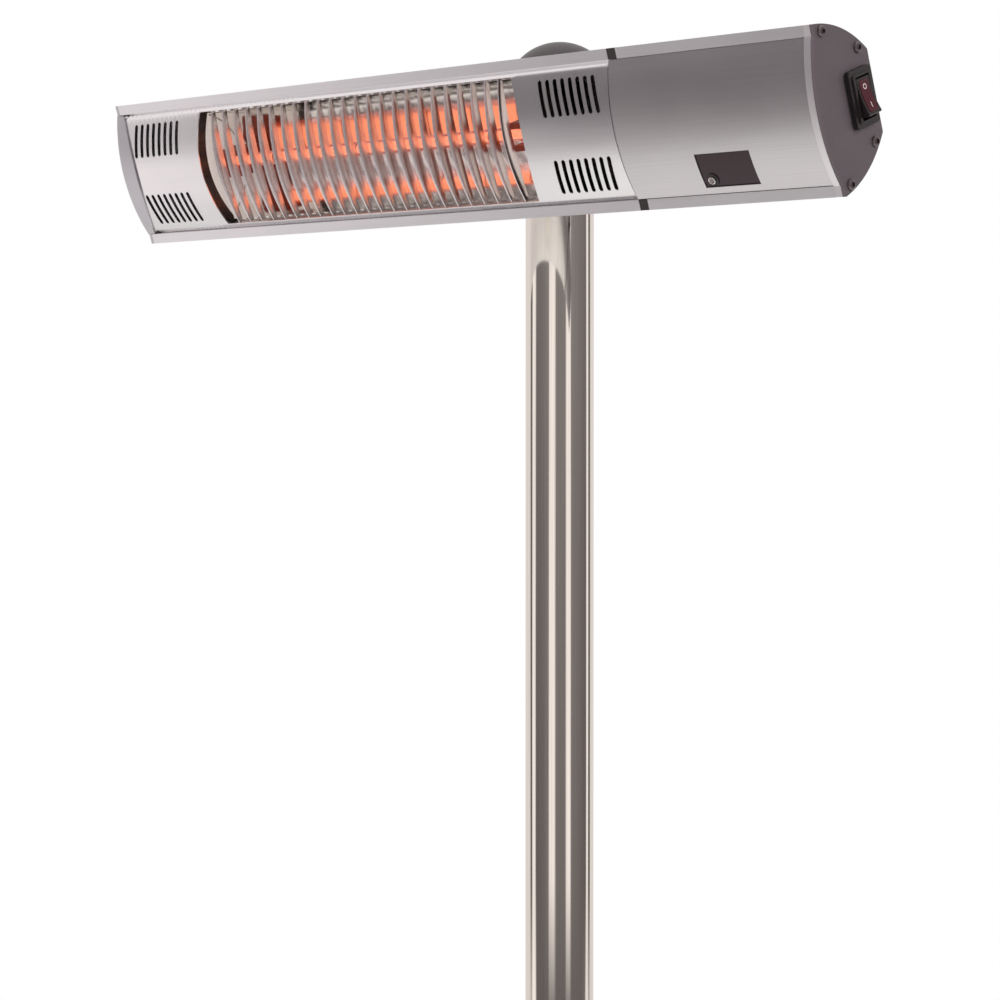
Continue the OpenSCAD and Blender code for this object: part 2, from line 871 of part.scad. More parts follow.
module switch_rocker() {
    color("firebrick") in_head() translate([rocker_axis_x, switch_v, 0]) {
        rotate([0, -rocker_swing / 2, 0]) rotate([90, 0, 0]) translate([0, 0, -rocker_w / 2])
            linear_extrude(rocker_w) rocker_2d();
        rod_y(-rocker_w / 2 - rocker_pin_len, rocker_w + 2 * rocker_pin_len, rocker_pin_r);
    }
}

back_in_v = head_depth - housing_wall;

module control_board() {
    color("darkgreen") in_head() difference() {
        translate([board_x, board_v, -board_size[2] / 2]) cube(board_size);
        for (x = [pillar_inset, board_size[0] - pillar_inset], z = [-1, 1])
            translate([board_x + x, 0, z * (board_size[2] / 2 - pillar_inset)])
                rod_y(board_v - over, board_size[1] + 2 * over, lead_r);
    }
}

module board_pillars() {
    color("gainsboro") in_head() for (x = [pillar_inset, board_size[0] - pillar_inset], z = [-1, 1])
        translate([board_x + x, 0, z * (board_size[2] / 2 - pillar_inset)])
            rod_y(board_v + board_size[1], back_in_v - board_v - board_size[1], pillar_r);
}

relay_size = [22, 16, 15];
choke_r = 8;
choke_h = 14;

module board_components() {
    color("#334466") in_head() {
        translate([board_x + 2 * pillar_inset, board_v - relay_size[1], 0]) cube(relay_size);
        translate([board_x + board_size[0] - 2 * pillar_inset - choke_r, 0, -choke_r])
            rod_y(board_v - choke_h, choke_h, choke_r);
    }
}

module terminal_block() {
    color("ivory") in_head()
        translate([terminal_pos[0], back_in_v - terminal_size[1], terminal_pos[1]]) cube(terminal_size);
}

module tip_over_switch() {
    color("#222222") in_head()
        translate([tip_x, back_in_v - tip_size[1], -tip_size[2] / 2]) cube(tip_size);
}

module cable_gland() {
    color("black") in_head() translate([gland_pos[0], 0, gland_pos[1]]) difference() {
        union() {
            rod_y(back_in_v - gland_nut_t - over, housing_wall + gland_nut_t + 2 * over, gland_thread_r);
            rod_y(head_depth, gland_body_len, gland_body_r);
            rod_y(head_depth + gland_body_len, gland_cap_len, gland_cap_r);
        }
        rod_y(0, 2 * head_depth, gland_hole_r);
    }
}

module gland_nut() {
    color("black") in_head() translate([gland_pos[0], 0, gland_pos[1]]) difference() {
        translate([0, back_in_v, 0]) rotate([90, 0, 0]) cylinder(r = gland_nut_r, h = gland_nut_t, $fn = 6);
        rod_y(back_in_v - gland_nut_t - over, gland_nut_t + 2 * over, gland_thread_r + screw_fit_gap);
    }
}

// Bare leads from the lamp holders, behind the trough and up to the terminal block
module lead(x_holder, turn, z, x_end) {
    x_out = x_holder + turn * lead_turn;
    translate([0, lamp_v, z]) rod_x(min(x_holder, x_out), lead_turn, lead_r);
    translate([x_out, 0, z]) rod_y(lamp_v, wire_v - lamp_v, lead_r);
    translate([0, wire_v, z]) rod_x(x_out, x_end - x_out, lead_r);
    for (p = [[x_out, lamp_v, z], [x_out, wire_v, z], [x_end, wire_v, z]])
        translate(p) sphere(lead_r);
    translate([x_end, wire_v, z]) cylinder(r = lead_r, h = terminal_pos[1] - z);
}

module lamp_leads() {
    color("white") in_head() {
        lead(trough_x0, -1, wire_z, terminal_pos[0] + terminal_size[0] / 4);
        lead(trough_x1, 1, -wire_z, terminal_pos[0] + terminal_size[0] / 2);
    }
}

module foot_holes(y0, len, r) {
    for (x = [-1, 1], z = [-1, 1])
        translate([x * foot_screw[0], 0, z * foot_screw[1]]) rod_y(y0, len, r);
}

// Swinging arm: a foot on the head's back, a flared bar and an eye round the pivot bolt
module tilt_arm() {
    foot_y = -pivot_gap + foot_size[1];
    color("#3a3a3c") in_tilt() difference() {
        union() {
            translate([-foot_size[0] / 2, -pivot_gap, -foot_size[2] / 2]) cube(foot_size);
            along_x(-arm_t / 2, arm_t) {
                circle(eye_r);
                translate([foot_y - over, -arm_h / 2]) square([-foot_y + over, arm_h]);
                polygon([
                    [foot_y - over, -flare_half],
                    [foot_y, -flare_half],
                    [foot_y + flare_len, -arm_h / 2],
                    [foot_y + flare_len, arm_h / 2],
                    [foot_y, flare_half],
                    [foot_y - over, flare_half]
                ]);
            }
        }
        foot_holes(-pivot_gap - over, foot_size[1] + 2 * over, foot_screw_r + slip_gap);
        rod_x(-arm_t / 2 - over, arm_t + 2 * over, bolt_d / 2 + run_gap);
    }
}

module arm_backing_plate() {
    color("gray") in_head() difference() {
        block([-foot_size[0] / 2, back_in_v - backing_t, -foot_size[2] / 2],
            [foot_size[0] / 2, back_in_v, foot_size[2] / 2]);
        foot_holes(back_in_v - backing_t - over, backing_t + 2 * over, foot_screw_r + slip_gap);
    }
}

arm_screw_head_r = 4.4;
arm_screw_head_h = 2.6;
arm_screw_tip = 2;

module arm_screws() {
    seat_y = -pivot_gap + foot_size[1];
    shank = foot_size[1] + housing_wall + backing_t + arm_screw_tip;
    color("dimgray") in_tilt() {
        foot_holes(seat_y, arm_screw_head_h, arm_screw_head_r);
        foot_holes(seat_y - shank, shank + over, foot_screw_r);
    }
}

module friction_washers() {
    color("black") at_pivot() for (s = [0, 1]) mirror([s, 0, 0]) difference() {
        rod_x(arm_t / 2 + (slot_gap - washer_t) / 2, washer_t, eye_r - over);
        rod_x(0, arm_t, bolt_d / 2 + slip_gap);
    }
}

// Face of the counterbore under the bolt head
bolt_seat_x = cheek_x - bolt_head_h - pivot_washer_t - over;
knob_face_x = -cheek_x - knob_hub_len - knob_body_len;
bolt_tip_x = -cheek_x - insert_len;

module pivot_bolt() {
    color("silver") at_pivot() {
        rod_x(bolt_tip_x, bolt_seat_x + pivot_washer_t - bolt_tip_x + over, bolt_d / 2);
        difference() {
            rod_x(bolt_seat_x + pivot_washer_t, bolt_head_h, bolt_head_r);
            translate([bolt_seat_x + pivot_washer_t + bolt_head_h / 2, 0, 0]) rotate([0, 90, 0])
                cylinder(r = bolt_head_r / 2, h = bolt_head_h, $fn = 6);
        }
    }
}

module pivot_washer() {
    color("silver") at_pivot() difference() {
        rod_x(bolt_seat_x, pivot_washer_t, pivot_washer_r);
        rod_x(bolt_seat_x - over, pivot_washer_t + 2 * over, bolt_d / 2 + slip_gap);
    }
}

module tilt_knob() {
    lobe_ring = knob_d / 2 - knob_lobe_r;
    color("black") at_pivot() difference() {
        union() {
            rod_x(-cheek_x - knob_hub_len, knob_hub_len, knob_hub_r);
            along_x(knob_face_x, knob_body_len) {
                circle(lobe_ring + over);
                for (n = [0:knob_lobes - 1]) rotate((n + lobe_turn_share) * 360 / knob_lobes)
                    translate([0, lobe_ring]) circle(knob_lobe_r);
            }
        }
        rod_x(-cheek_x - insert_len, insert_len + over, insert_r);
    }
}

module knob_insert() {
    color("goldenrod") at_pivot() difference() {
        rod_x(-cheek_x - insert_len, insert_len, insert_r);
        rod_x(-cheek_x - insert_len - over, insert_len + 2 * over, bolt_d / 2 + run_gap);
    }
}

// Slot for the arm, seen along X: its eye and every direction of its bar
module arm_sweep_2d() {
    half = arm_h / 2 + sweep_gap;
    reach = ball_r + over;
    up = half * [-sin(tilt_least), cos(tilt_least)];
    down = half * [sin(tilt_most), -cos(tilt_most)];
    circle(eye_r + sweep_gap);
    polygon([
        up,
        up - reach * [cos(tilt_least), sin(tilt_least)],
        -reach * [1, tan(tilt_most)],
        down - reach * [cos(tilt_most), sin(tilt_most)],
        down
    ]);
}

module column_head() {
    color("#3c3a3c") at_pivot() difference() {
        union() {
            intersection() {
                sphere(ball_r);
                block([-cheek_x, -ball_r - over, -ball_r - over], [cheek_x, ball_r + over, ball_r + over]);
            }
            translate([0, 0, -collar_top - over]) cylinder(r = neck_r, h = collar_top - neck_top + over);
            translate([0, 0, -collar_top - collar_h]) cylinder(r = column_d / 2 + collar_over, h = collar_h);
            translate([0, 0, -collar_top - collar_h - spigot_len])
                cylinder(r = tube_in_r - slip_gap, h = spigot_len + over);
        }
        along_x(-arm_t / 2 - slot_gap, arm_t + 2 * slot_gap) arm_sweep_2d();
        rod_x(-cheek_x - over, 2 * cheek_x + 2 * over, bolt_d / 2 + slip_gap);
        rod_x(bolt_seat_x, cheek_x, pocket_r);
        for (turn = [0:90:270]) rotate([0, 0, turn])
            translate([0, 0, -collar_top - collar_h - spigot_screw_drop])
                rod_y(tube_in_r - column_screw_reach, column_d, column_screw_r + screw_fit_gap);
    }
}

column_screw_reach = 6;

// Screw from the outside of the column at height z, turned about its axis
module column_screw(z, turn) {
    rotate([0, 0, turn]) translate([0, 0, z]) {
        rod_y(tube_in_r - column_screw_reach, column_wall + column_screw_reach + over, column_screw_r);
        intersection() {
            rod_y(column_d / 2 - column_wall / 2, column_screw_head_h + column_wall / 2, column_screw_head_r);
            difference() {
                rod_y(0, column_d, column_screw_head_r + over);
                cylinder(r = column_d / 2, h = column_d, center = true);
            }
        }
    }
}

module screw_holes(z, turns) {
    for (turn = turns) rotate([0, 0, turn]) translate([0, 0, z])
        rod_y(tube_in_r - column_screw_reach, column_d, column_screw_r + screw_fit_gap);
}

head_screw_z = column_top - spigot_screw_drop;
head_screw_turns = [0, 90, 180, 270];
sleeve_screw_turns = [0, 180];
sleeve_screw_z = [joint_h - sleeve_screw_drop, joint_h + sleeve_screw_drop];

module column_head_screws() {
    color("gray") for (turn = head_screw_turns) column_screw(head_screw_z, turn);
}

module upper_tube() {
    color("silver") difference() {
        translate([0, 0, joint_h]) cylinder(d = column_d, h = column_top - joint_h, $fn = ARC_FN);
        translate([0, 0, joint_h - over]) cylinder(r = tube_in_r, h = column_top - joint_h + 2 * over);
        screw_holes(head_screw_z, head_screw_turns);
        screw_holes(sleeve_screw_z[1], sleeve_screw_turns);
    }
}

flange_top = base_top + flange_t;

module lower_tube() {
    color("silver") difference() {
        translate([0, 0, flange_top]) cylinder(d = column_d, h = joint_h - flange_top, $fn = ARC_FN);
        translate([0, 0, flange_top - over]) cylinder(r = tube_in_r, h = joint_h - flange_top + 2 * over);
        screw_holes(sleeve_screw_z[0], sleeve_screw_turns);
    }
}

module joining_sleeve() {
    color("gray") difference() {
        translate([0, 0, joint_h - sleeve_len / 2]) cylinder(r = tube_in_r - slip_gap, h = sleeve_len);
        translate([0, 0, joint_h - sleeve_len / 2 - over])
            cylinder(r = tube_in_r - slip_gap - sleeve_wall, h = sleeve_len + 2 * over);
        for (z = sleeve_screw_z) screw_holes(z, sleeve_screw_turns);
    }
}

module sleeve_screws() {
    color("gray") for (z = sleeve_screw_z, turn = sleeve_screw_turns) column_screw(z, turn);
}

base_spigot_len = 60;

module bolt_pattern() {
    for (n = [0:base_bolt_count - 1]) rotate([0, 0, (n + bolt_turn_share) * 360 / base_bolt_count])
        translate([flange_d / 2 - base_bolt_inset, 0, 0]) children();
}

module base_flange() {
    color("dimgray") difference() {
        union() {
            translate([0, 0, base_top]) cylinder(d = flange_d, h = flange_t);
            translate([0, 0, base_top]) cylinder(r = tube_in_r - slip_gap, h = flange_t + base_spigot_len);
        }
        bolt_pattern() translate([0, 0, base_top - over])
            cylinder(r = base_bolt_r + slip_gap, h = flange_t + 2 * over);
    }
}

// Spun cover over the flange, close round the column
module base_collar() {
    color("silver") rotate_extrude($fn = ARC_FN) translate([0, base_top]) difference() {
        dome_2d(collar_out_r, collar_rise, collar_edge_r);
        translate([0, -over]) dome_2d(collar_out_r - collar_wall, collar_rise - collar_wall + over,
            collar_edge_r - collar_wall);
        square([column_d / 2 + part_gap, 2 * collar_rise]);
    }
}

// Half section of a round lid with a rounded edge
module dome_2d(r, h, edge) {
    square([r - edge, h]);
    square([r, h - edge]);
    intersection() {
        square([r, h]);
        translate([r - edge, h - edge]) circle(edge);
    }
}

weight_r = base_d / 2 - base_edge_r - part_gap;

module base_cover() {
    color("silver") difference() {
        rotate_extrude($fn = ARC_FN) translate([0, rim_z]) difference() {
            dome_2d(base_d / 2, base_top - rim_z, base_edge_r);
            translate([0, -over]) dome_2d(base_d / 2 - cover_t, base_top - rim_z - cover_t + over,
                base_edge_r - cover_t);
        }
        bolt_pattern() translate([0, 0, cover_z - over])
            cylinder(r = base_bolt_r + slip_gap, h = cover_t + 2 * over);
    }
}

module base_weight() {
    color("dimgray") difference() {
        translate([0, 0, mat_t]) cylinder(r = weight_r, h = weight_t, $fn = ARC_FN);
        bolt_pattern() translate([0, 0, mat_t - over])
            cylinder(r = base_bolt_r + screw_fit_gap, h = weight_t + 2 * over);
    }
}

module base_mat() {
    color("#262626") cylinder(r = weight_r, h = mat_t, $fn = ARC_FN);
}

module base_bolts() {
    color("silver") bolt_pattern() {
        translate([0, 0, mat_t]) cylinder(r = base_bolt_r, h = flange_top - mat_t + over);
        translate([0, 0, flange_top]) cylinder(r = base_bolt_head_r, h = base_bolt_head_h, $fn = 6);
    }
}

reflector_housing();
control_housing();
housing_divider();
divider_pins();
front_panel();
grille_slats();
grille_rails();
reflector_trough();
trough_end_plates();
lamp_tube();
lamp_filament();
lamp_end_caps();
lamp_holders();
left_end_cap();
right_end_cap();
right_end_frame();
end_cap_screws();
control_cover();
indicator_window();
indicator_lens();
switch_housing();
switch_gasket();
switch_terminals();
switch_rocker();
control_board();
board_components();
board_pillars();
terminal_block();
tip_over_switch();
cable_gland();
gland_nut();
lamp_leads();
tilt_arm();
arm_backing_plate();
arm_screws();
friction_washers();
pivot_bolt();
pivot_washer();
tilt_knob();
knob_insert();
column_head();
column_head_screws();
upper_tube();
lower_tube();
joining_sleeve();
sleeve_screws();
base_flange();
base_collar();
base_cover();
base_weight();
base_mat();
base_bolts();
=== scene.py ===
"""Looks of a freestanding infrared heater: a tilting lamp head on a round brushed column.

Measures are millimetres in the part's own frames and become metres when a mesh is placed. The
head's frame has X along the head, Y backwards from the plane of its lips and Z up from its middle;
it hangs, tilted, in front of the pivot on the column's axis.
"""

import logging
import math
from collections.abc import Iterable, Iterator, Sequence
from contextlib import contextmanager
from dataclasses import dataclass
from enum import Enum
from typing import Any, ClassVar

import bmesh
import bpy
from mathutils import Matrix, Vector
from mathutils.geometry import delaunay_2d_cdt

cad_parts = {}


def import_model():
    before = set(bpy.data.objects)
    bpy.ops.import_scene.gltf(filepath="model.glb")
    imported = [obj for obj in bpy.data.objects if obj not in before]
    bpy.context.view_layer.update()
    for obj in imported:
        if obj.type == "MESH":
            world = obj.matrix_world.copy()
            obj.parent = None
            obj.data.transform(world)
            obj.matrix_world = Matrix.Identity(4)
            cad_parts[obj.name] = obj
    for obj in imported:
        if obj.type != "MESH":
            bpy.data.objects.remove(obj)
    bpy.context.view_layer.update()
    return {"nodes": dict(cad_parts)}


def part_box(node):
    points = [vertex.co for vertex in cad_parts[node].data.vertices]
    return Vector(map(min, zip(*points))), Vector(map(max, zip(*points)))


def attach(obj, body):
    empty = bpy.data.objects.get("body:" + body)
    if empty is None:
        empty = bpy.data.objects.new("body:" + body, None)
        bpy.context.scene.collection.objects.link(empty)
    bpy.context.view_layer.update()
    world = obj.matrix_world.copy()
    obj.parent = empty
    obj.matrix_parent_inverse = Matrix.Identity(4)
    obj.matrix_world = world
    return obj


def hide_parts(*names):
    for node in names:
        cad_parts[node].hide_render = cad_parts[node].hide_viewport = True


log = logging.getLogger("heater")

MM = 0.001

Object = bpy.types.Object
Tree = bpy.types.NodeTree
Socket = bpy.types.NodeSocket
Point2 = tuple[float, float]
Outline = Sequence[Point2]


class Body(Enum):
    """The rigid bodies of the heater."""

    STAND = "stand"
    HEAD = "head"
    KNOB = "knob"
    ROCKER = "rocker"


class Grain(Enum):
    """Direction in which a metal's surface was drawn or brushed, as a pattern's scale per axis."""

    ALONG_X = (0.004, 1.0, 1.0)
    ALONG_Z = (1.0, 1.0, 0.004)
    NONE = (1.0, 1.0, 1.0)


# --- Node trees ---


def linear(colour: str) -> tuple[float, float, float, float]:
    """Turns an sRGB hex colour into linear red, green and blue with an alpha of 1."""
    shares = (int(colour[n : n + 2], 16) / 255 for n in (1, 3, 5))
    r, g, b = (s / 12.92 if s <= 0.04045 else ((s + 0.055) / 1.055) ** 2.4 for s in shares)
    return r, g, b, 1.0


def studio_grey(level: int) -> str:
    """Returns the sRGB colour of the studio's faintly warm grey at a brightness from 0 to 255."""
    tint = (1.0, 0.955, 0.968) if level < 200 else (1.0, 0.975, 0.975)
    return "#" + "".join(f"{round(level * share):02x}" for share in tint)


def add_node(
    tree: Tree,
    kind: str,
    inputs: dict[str | int, Any] | None = None,
    stops: Sequence[tuple[float, str]] = (),
    **settings: Any,
) -> bpy.types.Node:
    """Adds one node with its settings and links.

    Args:
        tree: Tree that gets the node.
        kind: Blender's name of the node's type.
        inputs: Constant or output socket for each input, by its name or number.
        stops: Places and sRGB colours of a colour ramp.
        **settings: Properties of the node.

    Returns:
        The new node.
    """
    made = tree.nodes.new(kind)
    for key, value in settings.items():
        setattr(made, key, value)
    for key, value in (inputs or {}).items():
        if isinstance(value, Socket):
            tree.links.new(value, made.inputs[key])
        else:
            made.inputs[key].default_value = value
    if stops:
        elements = made.color_ramp.elements
        while len(elements) > 1:
            elements.remove(elements[-1])
        elements[0].position, elements[0].color = stops[0][0], linear(stops[0][1])
        for place, colour in stops[1:]:
            elements.new(place).color = linear(colour)
    return made


def empty_tree(owner: bpy.types.Material | bpy.types.World) -> Tree:
    """Returns the node tree of a material or world, without its first nodes."""
    owner.use_nodes = True
    owner.node_tree.nodes.clear()
    return owner.node_tree


# --- Finishes ---


@dataclass(frozen=True)
class Finish:
    """A surface finish. Each kind of finish draws its own patterns."""

    name: str
    colour: str
    roughness: float = 0.4

    def skin(self, tree: Tree, place: Socket) -> dict[str, Any]:
        """Draws the finish's patterns.

        Args:
            tree: The material's node tree.
            place: Object coordinates, in metres.

        Returns:
            Inputs of the Principled shader.
        """
        raise NotImplementedError

    def material(self) -> bpy.types.Material:
        """Returns the finish's material, made once."""
        found = bpy.data.materials.get(self.name)
        if found:
            return found
        made = bpy.data.materials.new(self.name)
        tree = empty_tree(made)
        place = add_node(tree, "ShaderNodeTexCoord").outputs["Object"]
        shader = add_node(tree, "ShaderNodeBsdfPrincipled", self.skin(tree, place))
        add_node(tree, "ShaderNodeOutputMaterial", {"Surface": shader.outputs[0]})
        return made

    def grain(self, tree: Tree, place: Socket, pitch_mm: float, run: Grain = Grain.NONE) -> Socket:
        """Noise from 0 to 1, with lines or spots about a pitch apart, drawn out along the grain."""
        scale = add_node(tree, "ShaderNodeMapping", {"Vector": place, "Scale": run.value})
        noise = {"Vector": scale.outputs[0], "Scale": 1 / (pitch_mm * MM), "Detail": 3.0}
        return add_node(tree, "ShaderNodeTexNoise", noise).outputs[0]

    def spread(self, tree: Tree, value: Socket, low: float, high: float) -> Socket:
        """Maps the middle range of a pattern from low to high."""
        ends = {"Value": value, "From Min": 0.3, "From Max": 0.7, "To Min": low, "To Max": high}
        return add_node(tree, "ShaderNodeMapRange", ends).outputs[0]

    def rough(self, tree: Tree, value: Socket, share: float) -> Socket:
        """Varies the finish's roughness by a pattern, up and down by a share of it."""
        return self.spread(tree, value, self.roughness * (1 - share), self.roughness * (1 + share))

    def tinted(self, tree: Tree, value: Socket, low: float, high: float) -> Socket:
        """Varies the light of the finish's colour by a pattern, from a low to a high share."""
        scale = {0: linear(self.colour)[:3], "Scale": self.spread(tree, value, low, high)}
        return add_node(tree, "ShaderNodeVectorMath", scale, operation="SCALE").outputs[0]

    def bump(self, tree: Tree, height: Socket, depth_mm: float) -> Socket:
        """Turns a pattern into a bumpy normal with a relief of the given depth."""
        bump = {"Height": height, "Distance": depth_mm * MM, "Strength": 1.0}
        return add_node(tree, "ShaderNodeBump", bump).outputs[0]


@dataclass(frozen=True)
class DrawnMetal(Finish):
    """Metal with fine parallel lines from brushing, rolling or extruding.

    The lines run one way, so a lamp's reflection spreads across them and stays narrow along them.
    Real lines lie about 0.1 mm apart; they are drawn coarser, so that they still show. Slow clouds
    make the shine a little uneven, as handled sheet is.
    """

    run: Grain = Grain.ALONG_X
    pitch_mm: float = 0.5
    contrast: float = 0.06
    relief_mm: float = 0.0008
    anisotropy: float = 0.5
    cloud_mm: float = 60.0
    swing: float = 0.07

    def skin(self, tree: Tree, place: Socket) -> dict[str, Any]:
        """See Finish.skin."""
        lines = self.grain(tree, place, self.pitch_mm, self.run)
        cloud = self.grain(tree, place, self.cloud_mm)
        along = (1.0, 0.0, 0.0) if self.run is Grain.ALONG_X else (0.0, 0.0, 1.0)
        tangent = add_node(tree, "ShaderNodeCombineXYZ", dict(enumerate(along)))
        return {
            "Base Color": self.tinted(tree, lines, 1 - self.contrast, 1 + self.contrast),
            "Metallic": 1.0,
            "Roughness": self.rough(tree, cloud, self.swing),
            "Anisotropic": self.anisotropy,
            "Anisotropic Rotation": 0.25,
            "Tangent": tangent.outputs[0],
            "Normal": self.bump(tree, lines, self.relief_mm),
        }


@dataclass(frozen=True)
class SpunMetal(Finish):
    """Metal brushed in circles round the column's axis: its rings catch the light."""

    pitch_mm: float = 0.8
    contrast: float = 0.08
    relief_mm: float = 0.0015
    swing: float = 0.15

    def skin(self, tree: Tree, place: Socket) -> dict[str, Any]:
        """See Finish.skin."""
        level = {0: place, 1: (1, 1, 0)}
        flat = add_node(tree, "ShaderNodeVectorMath", level, operation="MULTIPLY")
        radius = add_node(tree, "ShaderNodeVectorMath", {0: flat.outputs[0]}, operation="LENGTH")
        height = add_node(tree, "ShaderNodeSeparateXYZ", {0: place}).outputs[2]
        ring = add_node(tree, "ShaderNodeCombineXYZ", {0: radius.outputs["Value"], 1: height})
        lines = self.grain(tree, ring.outputs[0], self.pitch_mm)
        return {
            "Base Color": self.tinted(tree, lines, 1 - self.contrast, 1 + self.contrast),
            "Metallic": 1.0,
            "Roughness": self.rough(tree, lines, self.swing),
            "Normal": self.bump(tree, lines, self.relief_mm),
        }


@dataclass(frozen=True)
class PolishedMetal(Finish):
    """Bright rolled or plated metal: nearly a mirror, with slow waves and a fine haze."""

    wave_mm: float = 14.0
    relief_mm: float = 0.02
    haze: float = 0.3
    haze_mm: float = 3.0
    tint: float = 0.05

    def skin(self, tree: Tree, place: Socket) -> dict[str, Any]:
        """See Finish.skin."""
        waves = self.grain(tree, place, self.wave_mm)
        haze = self.grain(tree, place, self.haze_mm)
        return {
            "Base Color": self.tinted(tree, haze, 1 - self.tint, 1.0),
            "Metallic": 1.0,
            "Roughness": self.rough(tree, haze, self.haze),
            "Normal": self.bump(tree, waves, self.relief_mm),
        }


@dataclass(frozen=True)
class Enamel(Finish):
    """Sprayed and baked enamel: a fine orange-peel skin with a soft shine."""

    peel_mm: float = 1.2
    relief_mm: float = 0.012
    cloud_mm: float = 40.0
    tint: float = 0.06
    swing: float = 0.15

    def skin(self, tree: Tree, place: Socket) -> dict[str, Any]:
        """See Finish.skin."""
        peel = self.grain(tree, place, self.peel_mm)
        cloud = self.grain(tree, place, self.cloud_mm)
        return {
            "Base Color": self.tinted(tree, cloud, 1 - self.tint, 1 + self.tint),
            "Roughness": self.rough(tree, peel, self.swing),
            "Normal": self.bump(tree, peel, self.relief_mm),
        }


@dataclass(frozen=True)
class Moulded(Finish):
    """Injection-moulded plastic or rubber with a faint spark-eroded texture."""

    texture_mm: float = 0.5
    relief_mm: float = 0.01
    cloud_mm: float = 25.0
    tint: float = 0.08
    swing: float = 0.1
    ior: float = 1.48

    def skin(self, tree: Tree, place: Socket) -> dict[str, Any]:
        """See Finish.skin."""
        grit = self.grain(tree, place, self.texture_mm)
        cloud = self.grain(tree, place, self.cloud_mm)
        return {
            "Base Color": self.tinted(tree, cloud, 1 - self.tint, 1 + self.tint),
            "Roughness": self.rough(tree, grit, self.swing),
            "IOR": self.ior,
            "Normal": self.bump(tree, grit, self.relief_mm),
        }


@dataclass(frozen=True)
class Glowing(Finish):
    """A piece with its own light over a glossy skin: the lamp's hot parts, and parts with painted
    glow.
    """

    light: str = "#ff8040"
    strength: float = 1.0
    clear: float = 0.0
    pitch_mm: float = 2.0
    tint: float = 0.1
    ior: float = 1.46

    def skin(self, tree: Tree, place: Socket) -> dict[str, Any]:
        """See Finish.skin."""
        cloud = self.grain(tree, place, self.pitch_mm)
        return {
            "Base Color": self.tinted(tree, cloud, 1 - self.tint, 1.0),
            "Roughness": self.roughness,
            "IOR": self.ior,
            "Transmission Weight": self.clear,
            "Emission Color": linear(self.light),
            "Emission Strength": self.strength,
        }


# The cover's darker brushing tells it apart from the brighter front panel beside it.
BRUSHED_COVER = DrawnMetal("brushed_cover", "#dcd9da", 0.3, pitch_mm=0.45, contrast=0.04)
BRUSHED_PANEL = DrawnMetal("brushed_panel", "#f8f6f7", 0.22, pitch_mm=0.5, contrast=0.025)
# Satin extrusion: even and soft, with faint die lines. The cast cap and the bead are duller.
ANODISED = DrawnMetal("satin_anodised_extrusion", "#f8f6f8", 0.3, pitch_mm=0.9, contrast=0.02)
# The left cap is darker than the extrusion as painted shade for the hollow of its lip.
SHADED_CAP_ANODISED = DrawnMetal("satin_anodised_cap", "#d6d4d8", 0.34, pitch_mm=0.9, contrast=0.02)
BRIGHT_BEAD = DrawnMetal(
    "bright_anodised_bead", "#eeeaec", 0.42, Grain.NONE, 1.0, 0.02, anisotropy=0.0
)
# The column mirrors the studio in sharp upright stripes, under fine lengthwise brushing.
TUBE_STEEL = DrawnMetal(
    "brushed_tube_steel", "#f4eee4", 0.085, Grain.ALONG_Z, 0.5, 0.09, 0.001, anisotropy=0.0
)
# Slats and trough carry the lamp's orange from one to the other, the trough in wavy patches.
SLAT_METAL = PolishedMetal("satin_slats", "#f8f2f2", 0.2, wave_mm=20, relief_mm=0.001, haze=0.05)
TROUGH_METAL = PolishedMetal("mirror_trough", "#faf7f3", 0.1, wave_mm=9, relief_mm=0.04)
BRIGHT_PLATE = PolishedMetal("bright_end_plate", "#e6e0da", 0.12)
# End plates that years of heat have browned.
DARK_STEEL = PolishedMetal("heat_tinted_steel", "#5a5350", 0.4)
# A dark brown strip on each end plate is painted shade behind the panel's edge.
PAINTED_SHADE_STRIP = Enamel("burnt_brown_edge", "#40332f", 0.3, relief_mm=0.006)
# Fasteners: blotchy dull plating, with a soft highlight on each head.
ZINC = PolishedMetal("zinc_plate", "#bdbab4", 0.4, wave_mm=5, relief_mm=0.004)
BLACK_ZINC = PolishedMetal("blackened_screws", "#8a8082", 0.4, wave_mm=4, relief_mm=0.004)
BRASS = PolishedMetal("turned_brass", "#c9a866", 0.4, wave_mm=5, relief_mm=0.004)
# The base is turned steel, whose rings fan the light out from the column.
SPUN_BASE = SpunMetal("spun_base_steel", "#cfcbc5", 0.24)
# Purplish grey enamel on the end cap, and a coarser, nearly black one on the castings.
# The cap's grey is darkened as painted shade for its end face, which is turned from the light.
SHADED_CAP_ENAMEL = Enamel("grey_cap_enamel", "#5d5358", 0.42)
DOME_ENAMEL = Enamel("textured_dome_enamel", "#3a3435", 0.36, peel_mm=1.0, relief_mm=0.02)
BLACK_ENAMEL = Enamel("black_enamel", "#2a2828", 0.4)
IRON_PAINT = Enamel("painted_iron", "#38383a", 0.6, peel_mm=3.0, relief_mm=0.08)
# Plastics, from the dull grip of the knob to the switch's and the window's gloss.
BLACK_PLASTIC = Moulded("black_moulding", "#262122", 0.45)
DIVIDER_PLASTIC = Moulded("divider_moulding", "#2c2626", 0.5)
SWITCH_PLASTIC = Moulded("glossy_switch_moulding", "#231d1e", 0.28, relief_mm=0.003)
SMOKED = Moulded("smoked_window", "#2a171e", 0.2, texture_mm=2.0, relief_mm=0.001)
LENS = Moulded("clear_lens", "#777073", 0.1, texture_mm=2.0, relief_mm=0.001)
MARK_WHITE = Moulded("white_mark_print", "#d8c6c6", 0.4)
RUBBER = Moulded("black_rubber", "#1d1b1b", 0.75, texture_mm=0.8, relief_mm=0.02)
